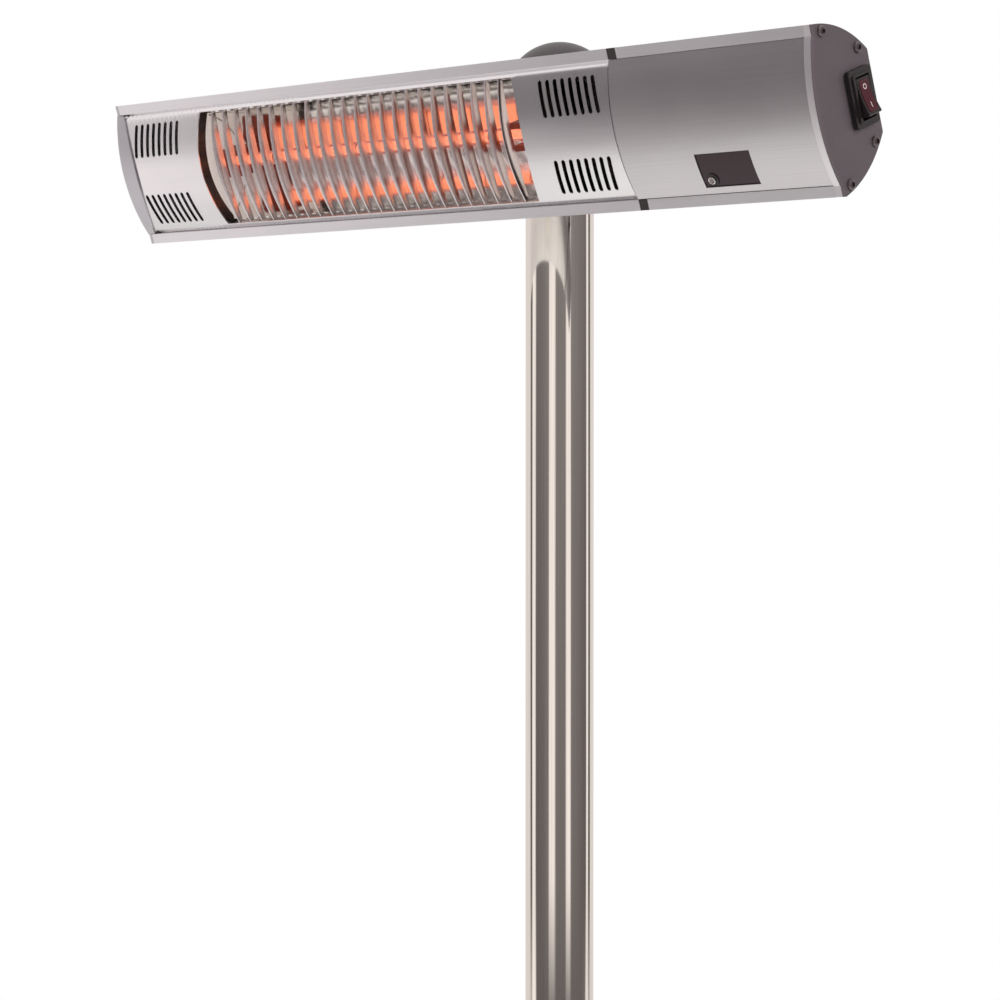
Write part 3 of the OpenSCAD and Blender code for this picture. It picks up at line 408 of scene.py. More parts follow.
# Inside the housings: chalky ceramic, lacquered board, blue relays and woven sleeves.
STEATITE = Moulded("cream_steatite", "#dcd2c4", 0.55, texture_mm=0.4, relief_mm=0.01)
BOARD = Moulded("green_board_lacquer", "#2f5f3c", 0.3)
RELAY = Moulded("blue_component_moulding", "#2c3856", 0.4)
SLEEVING = Moulded("glass_fibre_sleeving", "#d8d2c6", 0.8, texture_mm=0.6, relief_mm=0.06)
FIBRE = Moulded("fibre_washer", "#2c2a28", 0.7)
# The lamp: a pale orange coil glowing through nearly clear quartz, and painted glow on what is
# near.
QUARTZ = Glowing("ruby_quartz", "#ffeae4", 0.02, light="#ff6040", strength=0.08, clear=1.0)
FILAMENT = Glowing("hot_filament", "#803020", 0.5, light="#ffae86", strength=1.0)
COIL_SUPPORT = Glowing("hot_coil_support", "#4a2018", 0.5, light="#a03020", strength=0.15)
# The holders' red glow is painted lamp light on brown steatite.
HOLDER_PAINTED_GLOW = Glowing("hot_brown_steatite", "#5a2418", 0.5, light="#c23a1c", strength=0.12)
# The white end enamel glows with painted light from the lamp.
WHITE_PLATE_PAINTED_GLOW = Glowing("lit_white_end_enamel", "#f2efea", 0.35, light="#fff4ec", strength=0.3)
# Dark red plastic with some depth, which has a faint painted glow.
RED_ROCKER_PAINTED_GLOW = Glowing("translucent_red_rocker", "#430c17", 0.2, light="#8a1018", strength=0.02)


# --- Mesh making ---


def linked(name: str, data: bpy.types.ID) -> Object:
    """Makes an object of a mesh, camera or light in the scene."""
    made = bpy.data.objects.new(name, data)
    bpy.context.scene.collection.objects.link(made)
    return made


def mesh_object(
    name: str, points: Iterable[Sequence[float]], faces: Iterable[Sequence[int]], place: Matrix
) -> Object:
    """Makes a mesh object whose place is in its mesh.

    Args:
        name: Name of the piece.
        points: Corners in millimetres.
        faces: Corner numbers of each face.
        place: Frame of the corners, in metres.

    Returns:
        The object, at the origin.
    """
    mesh = bpy.data.meshes.new(name)
    to_row = place @ Matrix.Scale(MM, 4)
    mesh.from_pydata([to_row @ Vector(p) for p in points], [], list(faces))
    mesh.validate()
    return linked(name, mesh)


@contextmanager
def editing(mesh: bpy.types.Mesh) -> Iterator[bmesh.types.BMesh]:
    """Opens a mesh for editing and writes it back at the end."""
    work = bmesh.new()
    work.from_mesh(mesh)
    yield work
    work.to_mesh(mesh)
    work.free()


def close_up(obj: Object, outwards: bool = True) -> None:
    """Merges doubles, and turns the faces outwards if asked."""
    with editing(obj.data) as work:
        bmesh.ops.remove_doubles(work, verts=work.verts, dist=1e-6)
        if outwards:
            bmesh.ops.recalc_face_normals(work, faces=work.faces)


def smooth(obj: Object, angle_deg: float = 35.0) -> None:
    """Shades a mesh smoothly, apart from edges sharper than the angle."""
    obj.data.shade_smooth()
    obj.data.set_sharp_from_angle(angle=math.radians(angle_deg))


def settle(obj: Object) -> Object:
    """Applies an object's modifiers and returns it as a plain mesh object."""
    graph = bpy.context.evaluated_depsgraph_get()
    mesh = bpy.data.meshes.new_from_object(obj.evaluated_get(graph), depsgraph=graph)
    old = obj.data
    obj.modifiers.clear()
    obj.data = mesh
    bpy.data.meshes.remove(old)
    mesh.name = obj.name
    return obj


def ease_edges(obj: Object, width_mm: float, segments: int = 2, angle_deg: float = 30.0) -> Object:
    """Rounds the sharp edges of a mesh and shades it smoothly.

    Args:
        obj: The piece.
        width_mm: Width of the rounding.
        segments: Steps in it.
        angle_deg: Least angle of an edge that is rounded.

    Returns:
        The piece as a plain mesh.
    """
    bevel = obj.modifiers.new("ease", "BEVEL")
    bevel.width = width_mm * MM
    bevel.segments = segments
    bevel.limit_method = "ANGLE"
    bevel.angle_limit = math.radians(angle_deg)
    bevel.miter_outer = "MITER_ARC"
    settle(obj)
    smooth(obj, 50)
    even = obj.modifiers.new("even", "WEIGHTED_NORMAL")
    even.keep_sharp = True
    return settle(obj)


def lathe(name: str, outline: Outline, steps: int, place: Matrix, closed: bool = True) -> Object:
    """Turns an outline round the Z axis.

    Args:
        name: Name of the piece.
        outline: Radius and height of each point, in millimetres.
        steps: Facets round the axis.
        place: Frame of the outline.
        closed: Whether the outline's last point joins its first one.

    Returns:
        The turned piece.
    """
    turns = [2 * math.pi * n / steps for n in range(steps)]
    points = [(r * math.cos(a), r * math.sin(a), z) for a in turns for r, z in outline]
    rows = len(outline)
    faces = []
    for n in range(steps):
        here, there = n * rows, (n + 1) % steps * rows
        for k in range(rows if closed else rows - 1):
            up = (k + 1) % rows
            faces.append((here + k, there + k, there + up, here + up))
    made = mesh_object(name, points, faces, place)
    close_up(made)
    return made


def tube_faces(rings: int, size: int) -> list[tuple[int, ...]]:
    """Faces of a closed tube of rings that lie one after another, with both end faces."""
    faces: list[tuple[int, ...]] = []
    for n in range(rings - 1):
        for k in range(size):
            a, b = n * size + k, n * size + (k + 1) % size
            faces.append((a, b, b + size, a + size))
    last = (rings - 1) * size
    return [*faces, tuple(range(size - 1, -1, -1)), tuple(range(last, last + size))]


def arc(centre: Point2, radius: float, start: float, end: float, steps: int) -> list[Point2]:
    """Points of an arc from a start to an end angle in degrees, both ends included."""
    angles = [math.radians(start + (end - start) * n / steps) for n in range(steps + 1)]
    return [(centre[0] + radius * math.cos(a), centre[1] + radius * math.sin(a)) for a in angles]


def arc_radius(half_chord: float, bulge: float) -> float:
    """Radius of an arc from half its chord and its bulge."""
    return (half_chord**2 + bulge**2) / (2 * bulge)


def stadium(length: float, width: float, steps: int = 5) -> list[Point2]:
    """Outline of an upright slot with round ends."""
    r, end = width / 2, (length - width) / 2
    return arc((0, -end), r, 180, 360, steps) + arc((0, end), r, 0, 180, steps)


# --- Repeats by geometry nodes ---


class Pattern:
    """Something that repeats, made by a geometry node tree and then turned into a plain mesh.

    A subclass has the tree's label and its inputs' names and kinds, and draws what lies between.
    """

    label: ClassVar[str]
    sockets: ClassVar[dict[str, str]]

    def draw(self, tree: Tree, given: bpy.types.NodeOutputs) -> Socket:
        """Adds the nodes between the inputs and the drawn geometry, which it returns."""
        raise NotImplementedError

    def tree(self) -> Tree:
        """Returns the node tree with its named inputs, made once."""
        found = bpy.data.node_groups.get(self.label)
        if found:
            return found
        tree = bpy.data.node_groups.new(self.label, "GeometryNodeTree")
        for name, kind in (*self.sockets.items(), ("Finish", "Material")):
            tree.interface.new_socket(name, in_out="INPUT", socket_type=f"NodeSocket{kind}")
        tree.interface.new_socket("Result", in_out="OUTPUT", socket_type="NodeSocketGeometry")
        given = add_node(tree, "NodeGroupInput").outputs
        real = add_node(tree, "GeometryNodeRealizeInstances", {0: self.draw(tree, given)})
        dressing = {0: real.outputs[0], "Material": given["Finish"]}
        dressed = add_node(tree, "GeometryNodeSetMaterial", dressing)
        add_node(tree, "NodeGroupOutput", {0: dressed.outputs[0]})
        return tree

    def run(self, obj: Object, finish: Finish, values: dict[str, Any]) -> Object:
        """Runs the tree on an object.

        Args:
            obj: Object that gets the tree and becomes its result.
            finish: Finish of the result.
            values: The tree's inputs by name.

        Returns:
            The object as a plain mesh.
        """
        tree, wanted = self.tree(), {**values, "Finish": finish.material()}
        repeat = obj.modifiers.new(self.label, "NODES")
        repeat.node_group = tree
        for item in tree.interface.items_tree:
            if item.in_out == "INPUT" and item.name in wanted:
                repeat[item.identifier] = wanted[item.name]
        return settle(obj)


@dataclass(frozen=True)
class Row(Pattern):
    """Copies of one shape in a straight row, a step in metres apart."""

    label: ClassVar[str] = "row_of_copies"
    sockets: ClassVar[dict[str, str]] = {"Shape": "Geometry", "Count": "Int", "Step": "Vector"}
    count: int
    step: Vector

    def draw(self, tree: Tree, given: bpy.types.NodeOutputs) -> Socket:
        """See Pattern.draw."""
        places = {"Count": given["Count"], "Offset": given["Step"]}
        line = add_node(tree, "GeometryNodeMeshLine", places)
        spots = {"Points": line.outputs[0], "Instance": given["Shape"]}
        return add_node(tree, "GeometryNodeInstanceOnPoints", spots).outputs[0]

    def fill(self, shape: Object, finish: Finish) -> Object:
        """Repeats a shape, which is the first copy in its place, and returns all copies."""
        return self.run(shape, finish, {"Count": self.count, "Step": self.step})


@dataclass(frozen=True)
class Coil(Pattern):
    """Wire wound in an even coil round the Z axis."""

    label: ClassVar[str] = "wound_wire"
    sockets: ClassVar[dict[str, str]] = {
        "Geometry": "Geometry", "Radius": "Float", "Wire Radius": "Float", "Length": "Float",
        "Turns": "Float", "Steps": "Int",
    }
    radius: float
    wire_r: float
    length: float
    pitch: float
    steps: int = 14

    def draw(self, tree: Tree, given: bpy.types.NodeOutputs) -> Socket:
        """See Pattern.draw."""
        spiral = {
            "Resolution": given["Steps"], "Rotations": given["Turns"], "Height": given["Length"],
            "Start Radius": given["Radius"], "End Radius": given["Radius"],
        }
        path = add_node(tree, "GeometryNodeCurveSpiral", spiral)
        round_wire = {"Resolution": 6, "Radius": given["Wire Radius"]}
        ring = add_node(tree, "GeometryNodeCurvePrimitiveCircle", round_wire)
        swept = {"Curve": path.outputs[0], "Profile Curve": ring.outputs[0]}
        return add_node(tree, "GeometryNodeCurveToMesh", swept).outputs[0]

    def wind(self, name: str, finish: Finish) -> Object:
        """Winds the coil from the origin upwards and returns it in metres."""
        values = {
            "Radius": self.radius * MM, "Wire Radius": self.wire_r * MM, "Length": self.length * MM,
            "Turns": self.length / self.pitch, "Steps": self.steps,
        }
        made = self.run(linked(name, bpy.data.meshes.new(name)), finish, values)
        made.data.shade_smooth()
        return made


@dataclass(frozen=True)
class Spots(Pattern):
    """Copies of one shape at given places, each with the direction of the shape's Z axis."""

    label: ClassVar[str] = "copies_on_spots"
    sockets: ClassVar[dict[str, str]] = {"Spots": "Geometry", "Shape": "Object"}
    places: Sequence[tuple[Vector, Vector]]

    def draw(self, tree: Tree, given: bpy.types.NodeOutputs) -> Socket:
        """See Pattern.draw."""
        shape = add_node(tree, "GeometryNodeObjectInfo", {"Object": given["Shape"]})
        named = "GeometryNodeInputNamedAttribute"
        aim = add_node(tree, named, {"Name": "aim"}, data_type="FLOAT_VECTOR").outputs[0]
        turn = add_node(tree, "FunctionNodeAlignRotationToVector", {"Vector": aim}, axis="Z")
        spots = {
            "Points": given["Spots"], "Instance": shape.outputs["Geometry"],
            "Rotation": turn.outputs[0],
        }
        return add_node(tree, "GeometryNodeInstanceOnPoints", spots).outputs[0]

    def fill(self, name: str, shape: Object, finish: Finish) -> Object:
        """Puts a copy of a shape on each spot.

        Args:
            name: Name of the piece.
            shape: The shape, round the origin. It is removed.
            finish: Finish of the copies.

        Returns:
            All copies as one plain mesh.
        """
        mesh = bpy.data.meshes.new(name)
        mesh.from_pydata([p for p, _ in self.places], [], [])
        aims = mesh.attributes.new("aim", "FLOAT_VECTOR", "POINT")
        aims.data.foreach_set("vector", [c for _, aim in self.places for c in aim])
        made = self.run(linked(name, mesh), finish, {"Shape": shape})
        bpy.data.objects.remove(shape)
        return made


# --- Bent sheets ---


@dataclass(frozen=True)
class Bend:
    """Profile of a sheet, as depth and height against the length along the sheet.

    The middle is an arc round (centre, 0); above and below it the sheet goes on through corner
    points, mirrored at the middle.
    """

    centre: float
    radius: float
    half: float
    corners: tuple[Point2, ...]

    @property
    def arc_end(self) -> float:
        """Length along the sheet from its middle to the arc's end."""
        return self.along(self.half)

    @property
    def start(self) -> Point2:
        """Depth and height of the arc's end."""
        return self.centre - math.sqrt(self.radius**2 - self.half**2), self.half

    def folds(self) -> list[float]:
        """Lengths along the sheet of the arc's end and of each corner after it."""
        places, here = [self.arc_end], self.start
        for corner in self.corners:
            places.append(places[-1] + math.dist(here, corner))
            here = corner
        return places

    def along(self, z: float) -> float:
        """Length along the sheet at height z of the arc."""
        return self.radius * math.asin(max(-1.0, min(1.0, z / self.radius)))

    def at(self, s: float) -> Point2:
        """Depth and height at length s along the sheet."""
        side, length = math.copysign(1, s), abs(s)
        if length <= self.arc_end:
            turn = length / self.radius
            return self.centre - self.radius * math.cos(turn), side * self.radius * math.sin(turn)
        lengths = self.folds()
        stretches = list(zip(lengths, lengths[1:], (self.start, *self.corners), self.corners))
        low, high, a, b = next((p for p in stretches if length <= p[1] + 1e-9), stretches[-1])
        share = (length - low) / (high - low)
        return a[0] + share * (b[0] - a[0]), side * (a[1] + share * (b[1] - a[1]))


@dataclass(frozen=True)
class BentSheet:
    """A sheet with cut-outs, drawn flat and bent along a profile."""

    name: str
    bend: Bend
    x_from: float
    x_to: float
    thickness: float
    step: float = 5.0
    unshaded: float = 0.2
    alike: float = 0.8

    def spaced(self, start: Point2, end: Point2) -> list[Point2]:
        """Points from start up to, but without, end, at most a step apart."""
        count = max(1, math.ceil(math.dist(start, end) / self.step))
        (ax, ay), (bx, by) = start, end
        return [(ax + n / count * (bx - ax), ay + n / count * (by - ay)) for n in range(count)]

    def make(self, holes: Sequence[Outline], place: Matrix) -> Object:
        """Cuts and bends the sheet.

        Args:
            holes: Outlines of the cut-outs, as x and length along the sheet.
            place: Frame of the sheet.

        Returns:
            The finished sheet with its thickness and eased edges.
        """
        top = self.bend.folds()[-1]
        corners = [(self.x_from, -top), (self.x_to, -top), (self.x_to, top), (self.x_from, top)]
        points: list[Point2] = []
        edges: list[tuple[int, int]] = []
        for loop in (corners, *holes):
            first = len(points)
            for a, b in zip(loop, [*loop[1:], loop[0]]):
                points.extend(self.spaced(a, b))
            last = len(points)
            edges.extend((n, n + 1 if n + 1 < last else first) for n in range(first, last))
        rim = list(points)
        for fold in self.bend.folds()[:-1]:
            for s in (-fold, fold):
                first = len(points)
                points.extend(self.spaced((self.x_from, s), (self.x_to, s)))
                points.append((self.x_to, s))
                edges.extend((n, n + 1) for n in range(first, len(points) - 1))
        points.extend(self.inner_points(rim, top))
        flat, _, faces, *_ = delaunay_2d_cdt([Vector(p) for p in points], edges, [], 0, 1e-5)
        middles = [sum((flat[n] for n in f), Vector((0, 0))) / 3 for f in faces]
        kept = [f for f, spot in zip(faces, middles) if self.is_sheet(spot, holes)]
        bent = [(p.x, *self.bend.at(p.y)) for p in flat]
        made = mesh_object(self.name, bent, kept, place)
        close_up(made, outwards=False)
        return self.thicken(made, place)

    def inner_points(self, rim: Outline, top: float) -> list[Point2]:
        """Grid points of the sheet that aren't too near to an edge."""
        cell = self.step / 2
        near = {(round(p[0] / cell), round(p[1] / cell)) for p in rim}
        columns = math.floor((self.x_to - self.x_from) / self.step)
        rows = math.floor(2 * top / cell)
        grid = [
            (self.x_from + (i + 0.5) * self.step, -top + (j + 0.5) * cell)
            for i in range(columns)
            for j in range(rows)
        ]
        return [p for p in grid if (round(p[0] / cell), round(p[1] / cell)) not in near]

    @staticmethod
    def is_sheet(spot: Vector, holes: Sequence[Outline]) -> bool:
        """Whether a spot of the flat sheet lies outside every cut-out."""
        for loop in holes:
            inside = False
            for (ax, ay), (bx, by) in zip(loop, [*loop[1:], loop[0]]):
                if (ay > spot.y) != (by > spot.y):
                    inside ^= spot.x < ax + (spot.y - ay) * (bx - ax) / (by - ay)
            if inside:
                return False
        return True

    def thicken(self, sheet: Object, place: Matrix) -> Object:
        """Turns the sheet's faces to the front and gives it its thickness backwards."""
        front = place.to_3x3() @ Vector((0, -1, 0))
        with editing(sheet.data) as work:
            bmesh.ops.recalc_face_normals(work, faces=work.faces)
            if sum((f.normal.dot(front) * f.calc_area() for f in work.faces), 0.0) < 0:
                bmesh.ops.reverse_faces(work, faces=work.faces)
        wall = sheet.modifiers.new("thickness", "SOLIDIFY")
        wall.thickness = self.thickness * MM
        wall.offset = -1
        wall.use_even_offset = True
        settle(sheet)
        ease_edges(sheet, self.thickness / 6, 1, 50)
        self.shade(sheet, place)
        return sheet

    def shade(self, sheet: Object, place: Matrix) -> None:
        """Gives the bulge the normals of its arc, so that reflections run over it without steps."""
        mesh, back = sheet.data, place.inverted()
        turn = place.to_3x3().normalized()
        spots = [back @ v.co / MM for v in mesh.vertices]
        normals = [Vector(n.vector) for n in mesh.corner_normals]
        for corner in mesh.loops:
            spot = spots[corner.vertex_index]
            if abs(spot.z) < self.bend.half - self.unshaded:
                exact = turn @ Vector((0, spot.y - self.bend.centre, spot.z)).normalized()
                share = normals[corner.index].dot(exact)
                if abs(share) > self.alike:
                    normals[corner.index] = exact * math.copysign(1, share)
        mesh.normals_split_custom_set(normals)


# --- Placing ---


def corners_of(spots: Iterable[Vector]) -> tuple[Vector, Vector]:
    """Lowest and highest corner of the box round some spots."""
    spots = list(spots)
    low = Vector(min(p[k] for p in spots) for k in range(3))
    return low, Vector(max(p[k] for p in spots) for k in range(3))


def shifted(x: float, y: float = 0.0, z: float = 0.0) -> Matrix:
    """A move by millimetres, as a matrix in metres."""
    return Matrix.Translation((x * MM, y * MM, z * MM))


@dataclass(frozen=True)
class HeadFrame:
    """Frame of the tilting head: X along it, Y backwards from its lips, Z up from its middle.

    It also holds the measures that the sheets of the head's front share.
    """

    pivot_h: float = 2020.0
    tilt_deg: float = 19.5
    setback: float = 133.0
    sheet: float = 0.8
    bulge: float = 8.2
    panel_half: float = 43.5
    fold_edge: float = 47.2
    tab_v: float = 2.4
    tab_h: float = 3.6

    @property
    def tab(self) -> tuple[Point2, Point2]:
        """Ends of the tab that holds a front sheet behind the lips, as depth and height."""
        return (self.tab_v, self.fold_edge), (self.tab_v, self.fold_edge + self.tab_h)

    @property
    def matrix(self) -> Matrix:
        """Frame of the head in the row frame, in metres."""
        turn = Matrix.Rotation(math.radians(self.tilt_deg), 4, "X")
        return shifted(0, 0, self.pivot_h) @ turn @ shifted(0, -self.setback)


@dataclass
class SubAssembly:
    """A group of pieces that ride on one body."""

    nodes: dict[str, Object]
    head: HeadFrame
    body: Body = Body.HEAD

    def build(self) -> None:
        """Builds the assembly's pieces."""
        raise NotImplementedError

    def box(self, node: str) -> tuple[Vector, Vector]:
        """Lowest and highest corner of a CAD node in the head's frame, in millimetres."""
        back = self.head.matrix.inverted()
        return corners_of(back @ v.co / MM for v in self.nodes[node].data.vertices)

    def dress(self, finishes: dict[str, Finish]) -> None:
        """Gives CAD nodes that stay in sight their finish."""
        for name, finish in finishes.items():
            mesh = self.nodes[name].data
            mesh.materials.clear()
            mesh.materials.append(finish.material())
            log.info("node %s: %s", name, finish.name)

    def seat(self, piece: Object, finish: Finish, node: str, replaces: bool = True) -> Object:
        """Finishes a piece and hangs it on the assembly's body.

        Args:
            piece: The piece, in its place.
            finish: Its finish.
            node: CAD node that it belongs to.
            replaces: Whether it stands for that node.

        Returns:
            The piece.
        """
        piece.data.materials.clear()
        piece.data.materials.append(finish.material())
        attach(piece, self.body.value)
        if replaces:
            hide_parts(node)
        log.info("piece %s: %d faces, %s", piece.name, len(piece.data.polygons), finish.name)
        return piece

    def soften(self, node: str, finish: Finish, width_mm: float, segments: int = 2) -> Object:
        """Replaces a node by a copy with merged faces and rounded edges.

        Args:
            node: CAD node.
            finish: The copy's finish.
            width_mm: Width of the rounding.
            segments: Steps in it.

        Returns:
            The copy.
        """
        made = linked(f"{node}_eased", self.nodes[node].data.copy())
        with editing(made.data) as work:
            bmesh.ops.remove_doubles(work, verts=work.verts, dist=2e-6)
            flat = math.radians(0.4)
            bmesh.ops.dissolve_limit(work, angle_limit=flat, verts=work.verts, edges=work.edges)
        return self.seat(ease_edges(made, width_mm, segments), finish, node)


# --- Stand ---


@dataclass
class Stand(SubAssembly):
    """Column tubes, ball-shaped column head and weighted base."""

    body: Body = Body.STAND
    tube_wall: float = 1.5
    tube_steps: int = 160

    def build(self) -> None:
        """Builds the stand's pieces."""
        for node in ("upper_tube", "lower_tube"):
            self.tube(node)
        self.soften("column_head", DOME_ENAMEL, 0.8, 3)
        self.soften("base_cover", SPUN_BASE, 0.3)
        self.soften("base_collar", SPUN_BASE, 0.3)
        self.soften("base_mat", RUBBER, 0.6)
        self.soften("column_head_screws", ZINC, 0.3)
        self.soften("sleeve_screws", ZINC, 0.3)
        self.dress({"base_flange": BLACK_ENAMEL, "base_weight": IRON_PAINT})
        self.dress({"friction_washers": FIBRE})
        fasteners = ("joining_sleeve", "base_bolts", "pivot_bolt", "pivot_washer")
        self.dress(dict.fromkeys(fasteners, ZINC))

    def tube(self, node: str) -> None:
        """One column tube with slightly rounded ends."""
        low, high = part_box(node)
        outer, bottom, top = high.x / MM, low.z / MM, high.z / MM
        inner, edge = outer - self.tube_wall, self.tube_wall / 4
        outline = [
            *arc((outer - edge, bottom + edge), edge, -90, 0, 3),
            *arc((outer - edge, top - edge), edge, 0, 90, 3),
            *arc((inner + edge, top - edge), edge, 90, 180, 3),
            *arc((inner + edge, bottom + edge), edge, 180, 270, 3),
        ]
        made = lathe(f"{node}_brushed", outline, self.tube_steps, Matrix.Identity(4))
        smooth(made)
        self.seat(made, TUBE_STEEL, node)


@dataclass
class Knob(SubAssembly):
    """Clamp knob of the tilt joint."""

    body: Body = Body.KNOB

    def build(self) -> None:
        """Builds the knob's pieces."""
        self.soften("tilt_knob", BLACK_PLASTIC, 1.5, 3)
        self.dress({"knob_insert": BRASS})


# --- Head ---


@dataclass
class Housing(SubAssembly):
    """Aluminium housings, divider, end caps, bright end frame, screws and tilt arm."""

    screw_r: float = 3.6
    screw_h: float = 2.4
    socket_r: float = 1.5
    socket_depth: float = 1.5
    socket_slope: float = 0.1
    socket_lip: float = 0.3
    rim_r: float = 2.4
    rim_drop: float = 0.1
    round_r: float = 1.3
    round_drop: float = 1.5
    shank_r: float = 2.0
    shank_len: float = 10.0

    def build(self) -> None:
        """Builds the housing's pieces."""
        self.soften("reflector_housing", ANODISED, 0.35)
        self.soften("control_housing", ANODISED, 0.35)
        self.soften("housing_divider", DIVIDER_PLASTIC, 0.3)
        # The left cap's darker finish is painted shade.
        self.soften("left_end_cap", SHADED_CAP_ANODISED, 0.4)
        # The right cap's dark grey is partly painted shade.
        self.soften("right_end_cap", SHADED_CAP_ENAMEL, 0.5)
        self.soften("right_end_frame", BRIGHT_BEAD, 1.6, 4)
        self.soften("tilt_arm", BLACK_ENAMEL, 1.0, 3)
        self.soften("arm_screws", ZINC, 0.4)
        self.soften("cable_gland", BLACK_PLASTIC, 0.5)
        self.screws()
        self.dress({"divider_pins": ZINC, "arm_backing_plate": ZINC, "gland_nut": BLACK_PLASTIC})

    def screws(self) -> None:
        """End cap screws: round heads with a round recess, one on each solid of the node."""
        places = []
        for low, high in self.solids("end_cap_screws"):
            side = math.copysign(1, low.x)
            tip = high.x if side > 0 else low.x
            seat = Vector((tip - side * self.screw_h, (low.y + high.y) / 2, (low.z + high.z) / 2))
            places.append((self.head.matrix @ (seat * MM), Vector((side, 0, 0))))
        r, h, floor = self.screw_r, self.screw_h, self.screw_h - self.socket_depth
        brim = h - self.rim_drop
        outline = [(0, floor), (self.socket_r, floor), (self.socket_r + self.socket_slope, brim)]
        outline += [(self.socket_r + self.socket_lip, h), (self.rim_r, brim)]
        outline += arc((r - self.round_r, h - self.round_drop), self.round_r, 60, 0, 5) + [(r, 0)]
        outline += [(self.shank_r, 0), (self.shank_r, -self.shank_len), (0, -self.shank_len)]
        shape = lathe("cap_screw", outline, 30, Matrix.Identity(4), False)
        smooth(shape, 40)
        made = Spots(places).fill("cap_screw_set", shape, BLACK_ZINC)
        self.seat(made, BLACK_ZINC, "end_cap_screws")

    def solids(self, node: str) -> list[tuple[Vector, Vector]]:
        """Boxes of a node's separate solids in the head's frame, in millimetres."""
        work, back, boxes = bmesh.new(), self.head.matrix.inverted(), []
        work.from_mesh(self.nodes[node].data)
        bmesh.ops.remove_doubles(work, verts=work.verts, dist=2e-6)
        left = set(work.verts)
        for first in work.verts:
            grown, island = [first] if first in left else [], []
            left -= set(grown)
            while grown:
                spot = grown.pop()
                island.append(back @ spot.co / MM)
                near = {e.other_vert(spot) for e in spot.link_edges} & left
                left -= near
                grown.extend(near)
            if island:
                boxes.append(corners_of(island))
        work.free()
        return boxes


@dataclass
class FrontGrille(SubAssembly):
    """Front panel with its opening and vent slots, the curved slats and their rails."""

    panel_step: float = 0.8
    opening_bow: float = 5.0
    opening_inset: float = 0.1
    vent_slots: int = 8
    vent_pitch: float = 6.6
    vent_w: float = 3.3
    vent_len: float = 25.0
    vent_z: float = 27.0
    vent_inset: float = 26.75
    slat_count: int = 24
    slat_t: float = 0.8
    slat_gap: float = 0.2
    slat_end_depth: float = 4.0
    slat_depth: float = 9.5
    slat_inset_share: float = 0.9
    slat_nose: float = 0.8
    slat_stations: int = 28

    @property
    def bend(self) -> Bend:
        """Profile of the panel: its bulge, the slanted fold and the tab behind the lip."""
        head = self.head
        radius = arc_radius(head.panel_half, head.bulge)
        return Bend(radius - self.panel_step - head.bulge, radius, head.panel_half, head.tab)

    @property
    def middle(self) -> float:
        """Place of the opening's middle along the head."""
        low, high = self.box("grille_slats")
        return (low.x + high.x) / 2

    @property
    def pitch(self) -> float:
        """Distance from slat to slat."""
        low, high = self.box("grille_slats")
        return (high.x - low.x - self.slat_t) / (self.slat_count - 1)

    @property
    def opening_half(self) -> float:
        """Half the opening's length at its corners."""
        return (self.slat_count + 1) * self.pitch / 2

    def build(self) -> None:
        """Builds the grille's pieces."""
        low, high = self.box("front_panel")
        sheet = BentSheet("front_panel_sheet", self.bend, low.x, high.x, self.head.sheet)
        panel = sheet.make([self.opening(), *self.vents()], self.head.matrix)
        self.seat(panel, BRUSHED_PANEL, "front_panel")
        self.slats()
        self.soften("grille_rails", BRIGHT_PLATE, 0.3)

    def opening(self) -> list[Point2]:
        """Outline of the opening with its bowed ends."""
        top = self.head.panel_half - self.opening_inset
        radius = arc_radius(top, self.opening_bow)
        half_turn = math.degrees(math.asin(top / radius))
        reach = self.opening_half + self.opening_bow - radius
        right = arc((self.middle + reach, 0), radius, -half_turn, half_turn, 24)
        left = arc((self.middle - reach, 0), radius, 180 - half_turn, 180 + half_turn, 24)
        return [(x, self.bend.along(z)) for x, z in right + left]

    def vents(self) -> list[list[Point2]]:
        """Outlines of the four groups of vent slots, which lean as the opening's ends do."""
        bend, top = self.bend, self.head.panel_half - self.opening_inset
        lean = math.asin(self.vent_z / arc_radius(top, self.opening_bow))
        slot = stadium(self.vent_len, self.vent_w)
        middle, first = self.middle, self.opening_half + self.vent_inset
        made = []
        for side, group in ((-1, -1), (-1, 1), (1, -1), (1, 1)):
            c, s = math.cos(side * group * lean), math.sin(side * group * lean)
            turned = [(a * c - b * s, group * self.vent_z + a * s + b * c) for a, b in slot]
            for n in range(self.vent_slots):
                x = middle + side * (first + n * self.vent_pitch)
                made.append([(x + u, bend.along(z)) for u, z in turned])
        return made

    def slats(self) -> None:
        """The row of curved slats, each with a rounded front edge."""
        head, bend, t = self.head, self.bend, self.slat_t / 2
        front_r, nose = bend.radius - self.slat_gap, self.slat_nose * t
        half = head.panel_half - self.slat_inset_share * head.sheet
        rise = head.bulge + self.slat_end_depth - self.slat_depth
        back_r = arc_radius(half, rise)
        back_centre = head.tab_v + head.sheet - rise + back_r
        points = []
        for n in range(self.slat_stations + 1):
            z = -half + 2 * half * n / self.slat_stations
            front = bend.centre - math.sqrt(front_r**2 - z**2)
            back = back_centre - math.sqrt(back_r**2 - z**2)
            ring = [(-t, back), (-t, front + nose), (-t * 0.6, front + nose * 0.3), (0, front)]
            ring += [(-x, v) for x, v in reversed(ring[:-1])]
            points.extend((x, v, z) for x, v in ring)
        faces = tube_faces(self.slat_stations + 1, 7)
        first = head.matrix @ shifted(self.box("grille_slats")[0].x + t)
        slat = mesh_object("grille_slat_row", points, faces, first)
        close_up(slat)
        smooth(slat, 50)
        row = Row(self.slat_count, Vector((self.pitch * MM, 0, 0)))
        self.seat(row.fill(slat, SLAT_METAL), SLAT_METAL, "grille_slats")


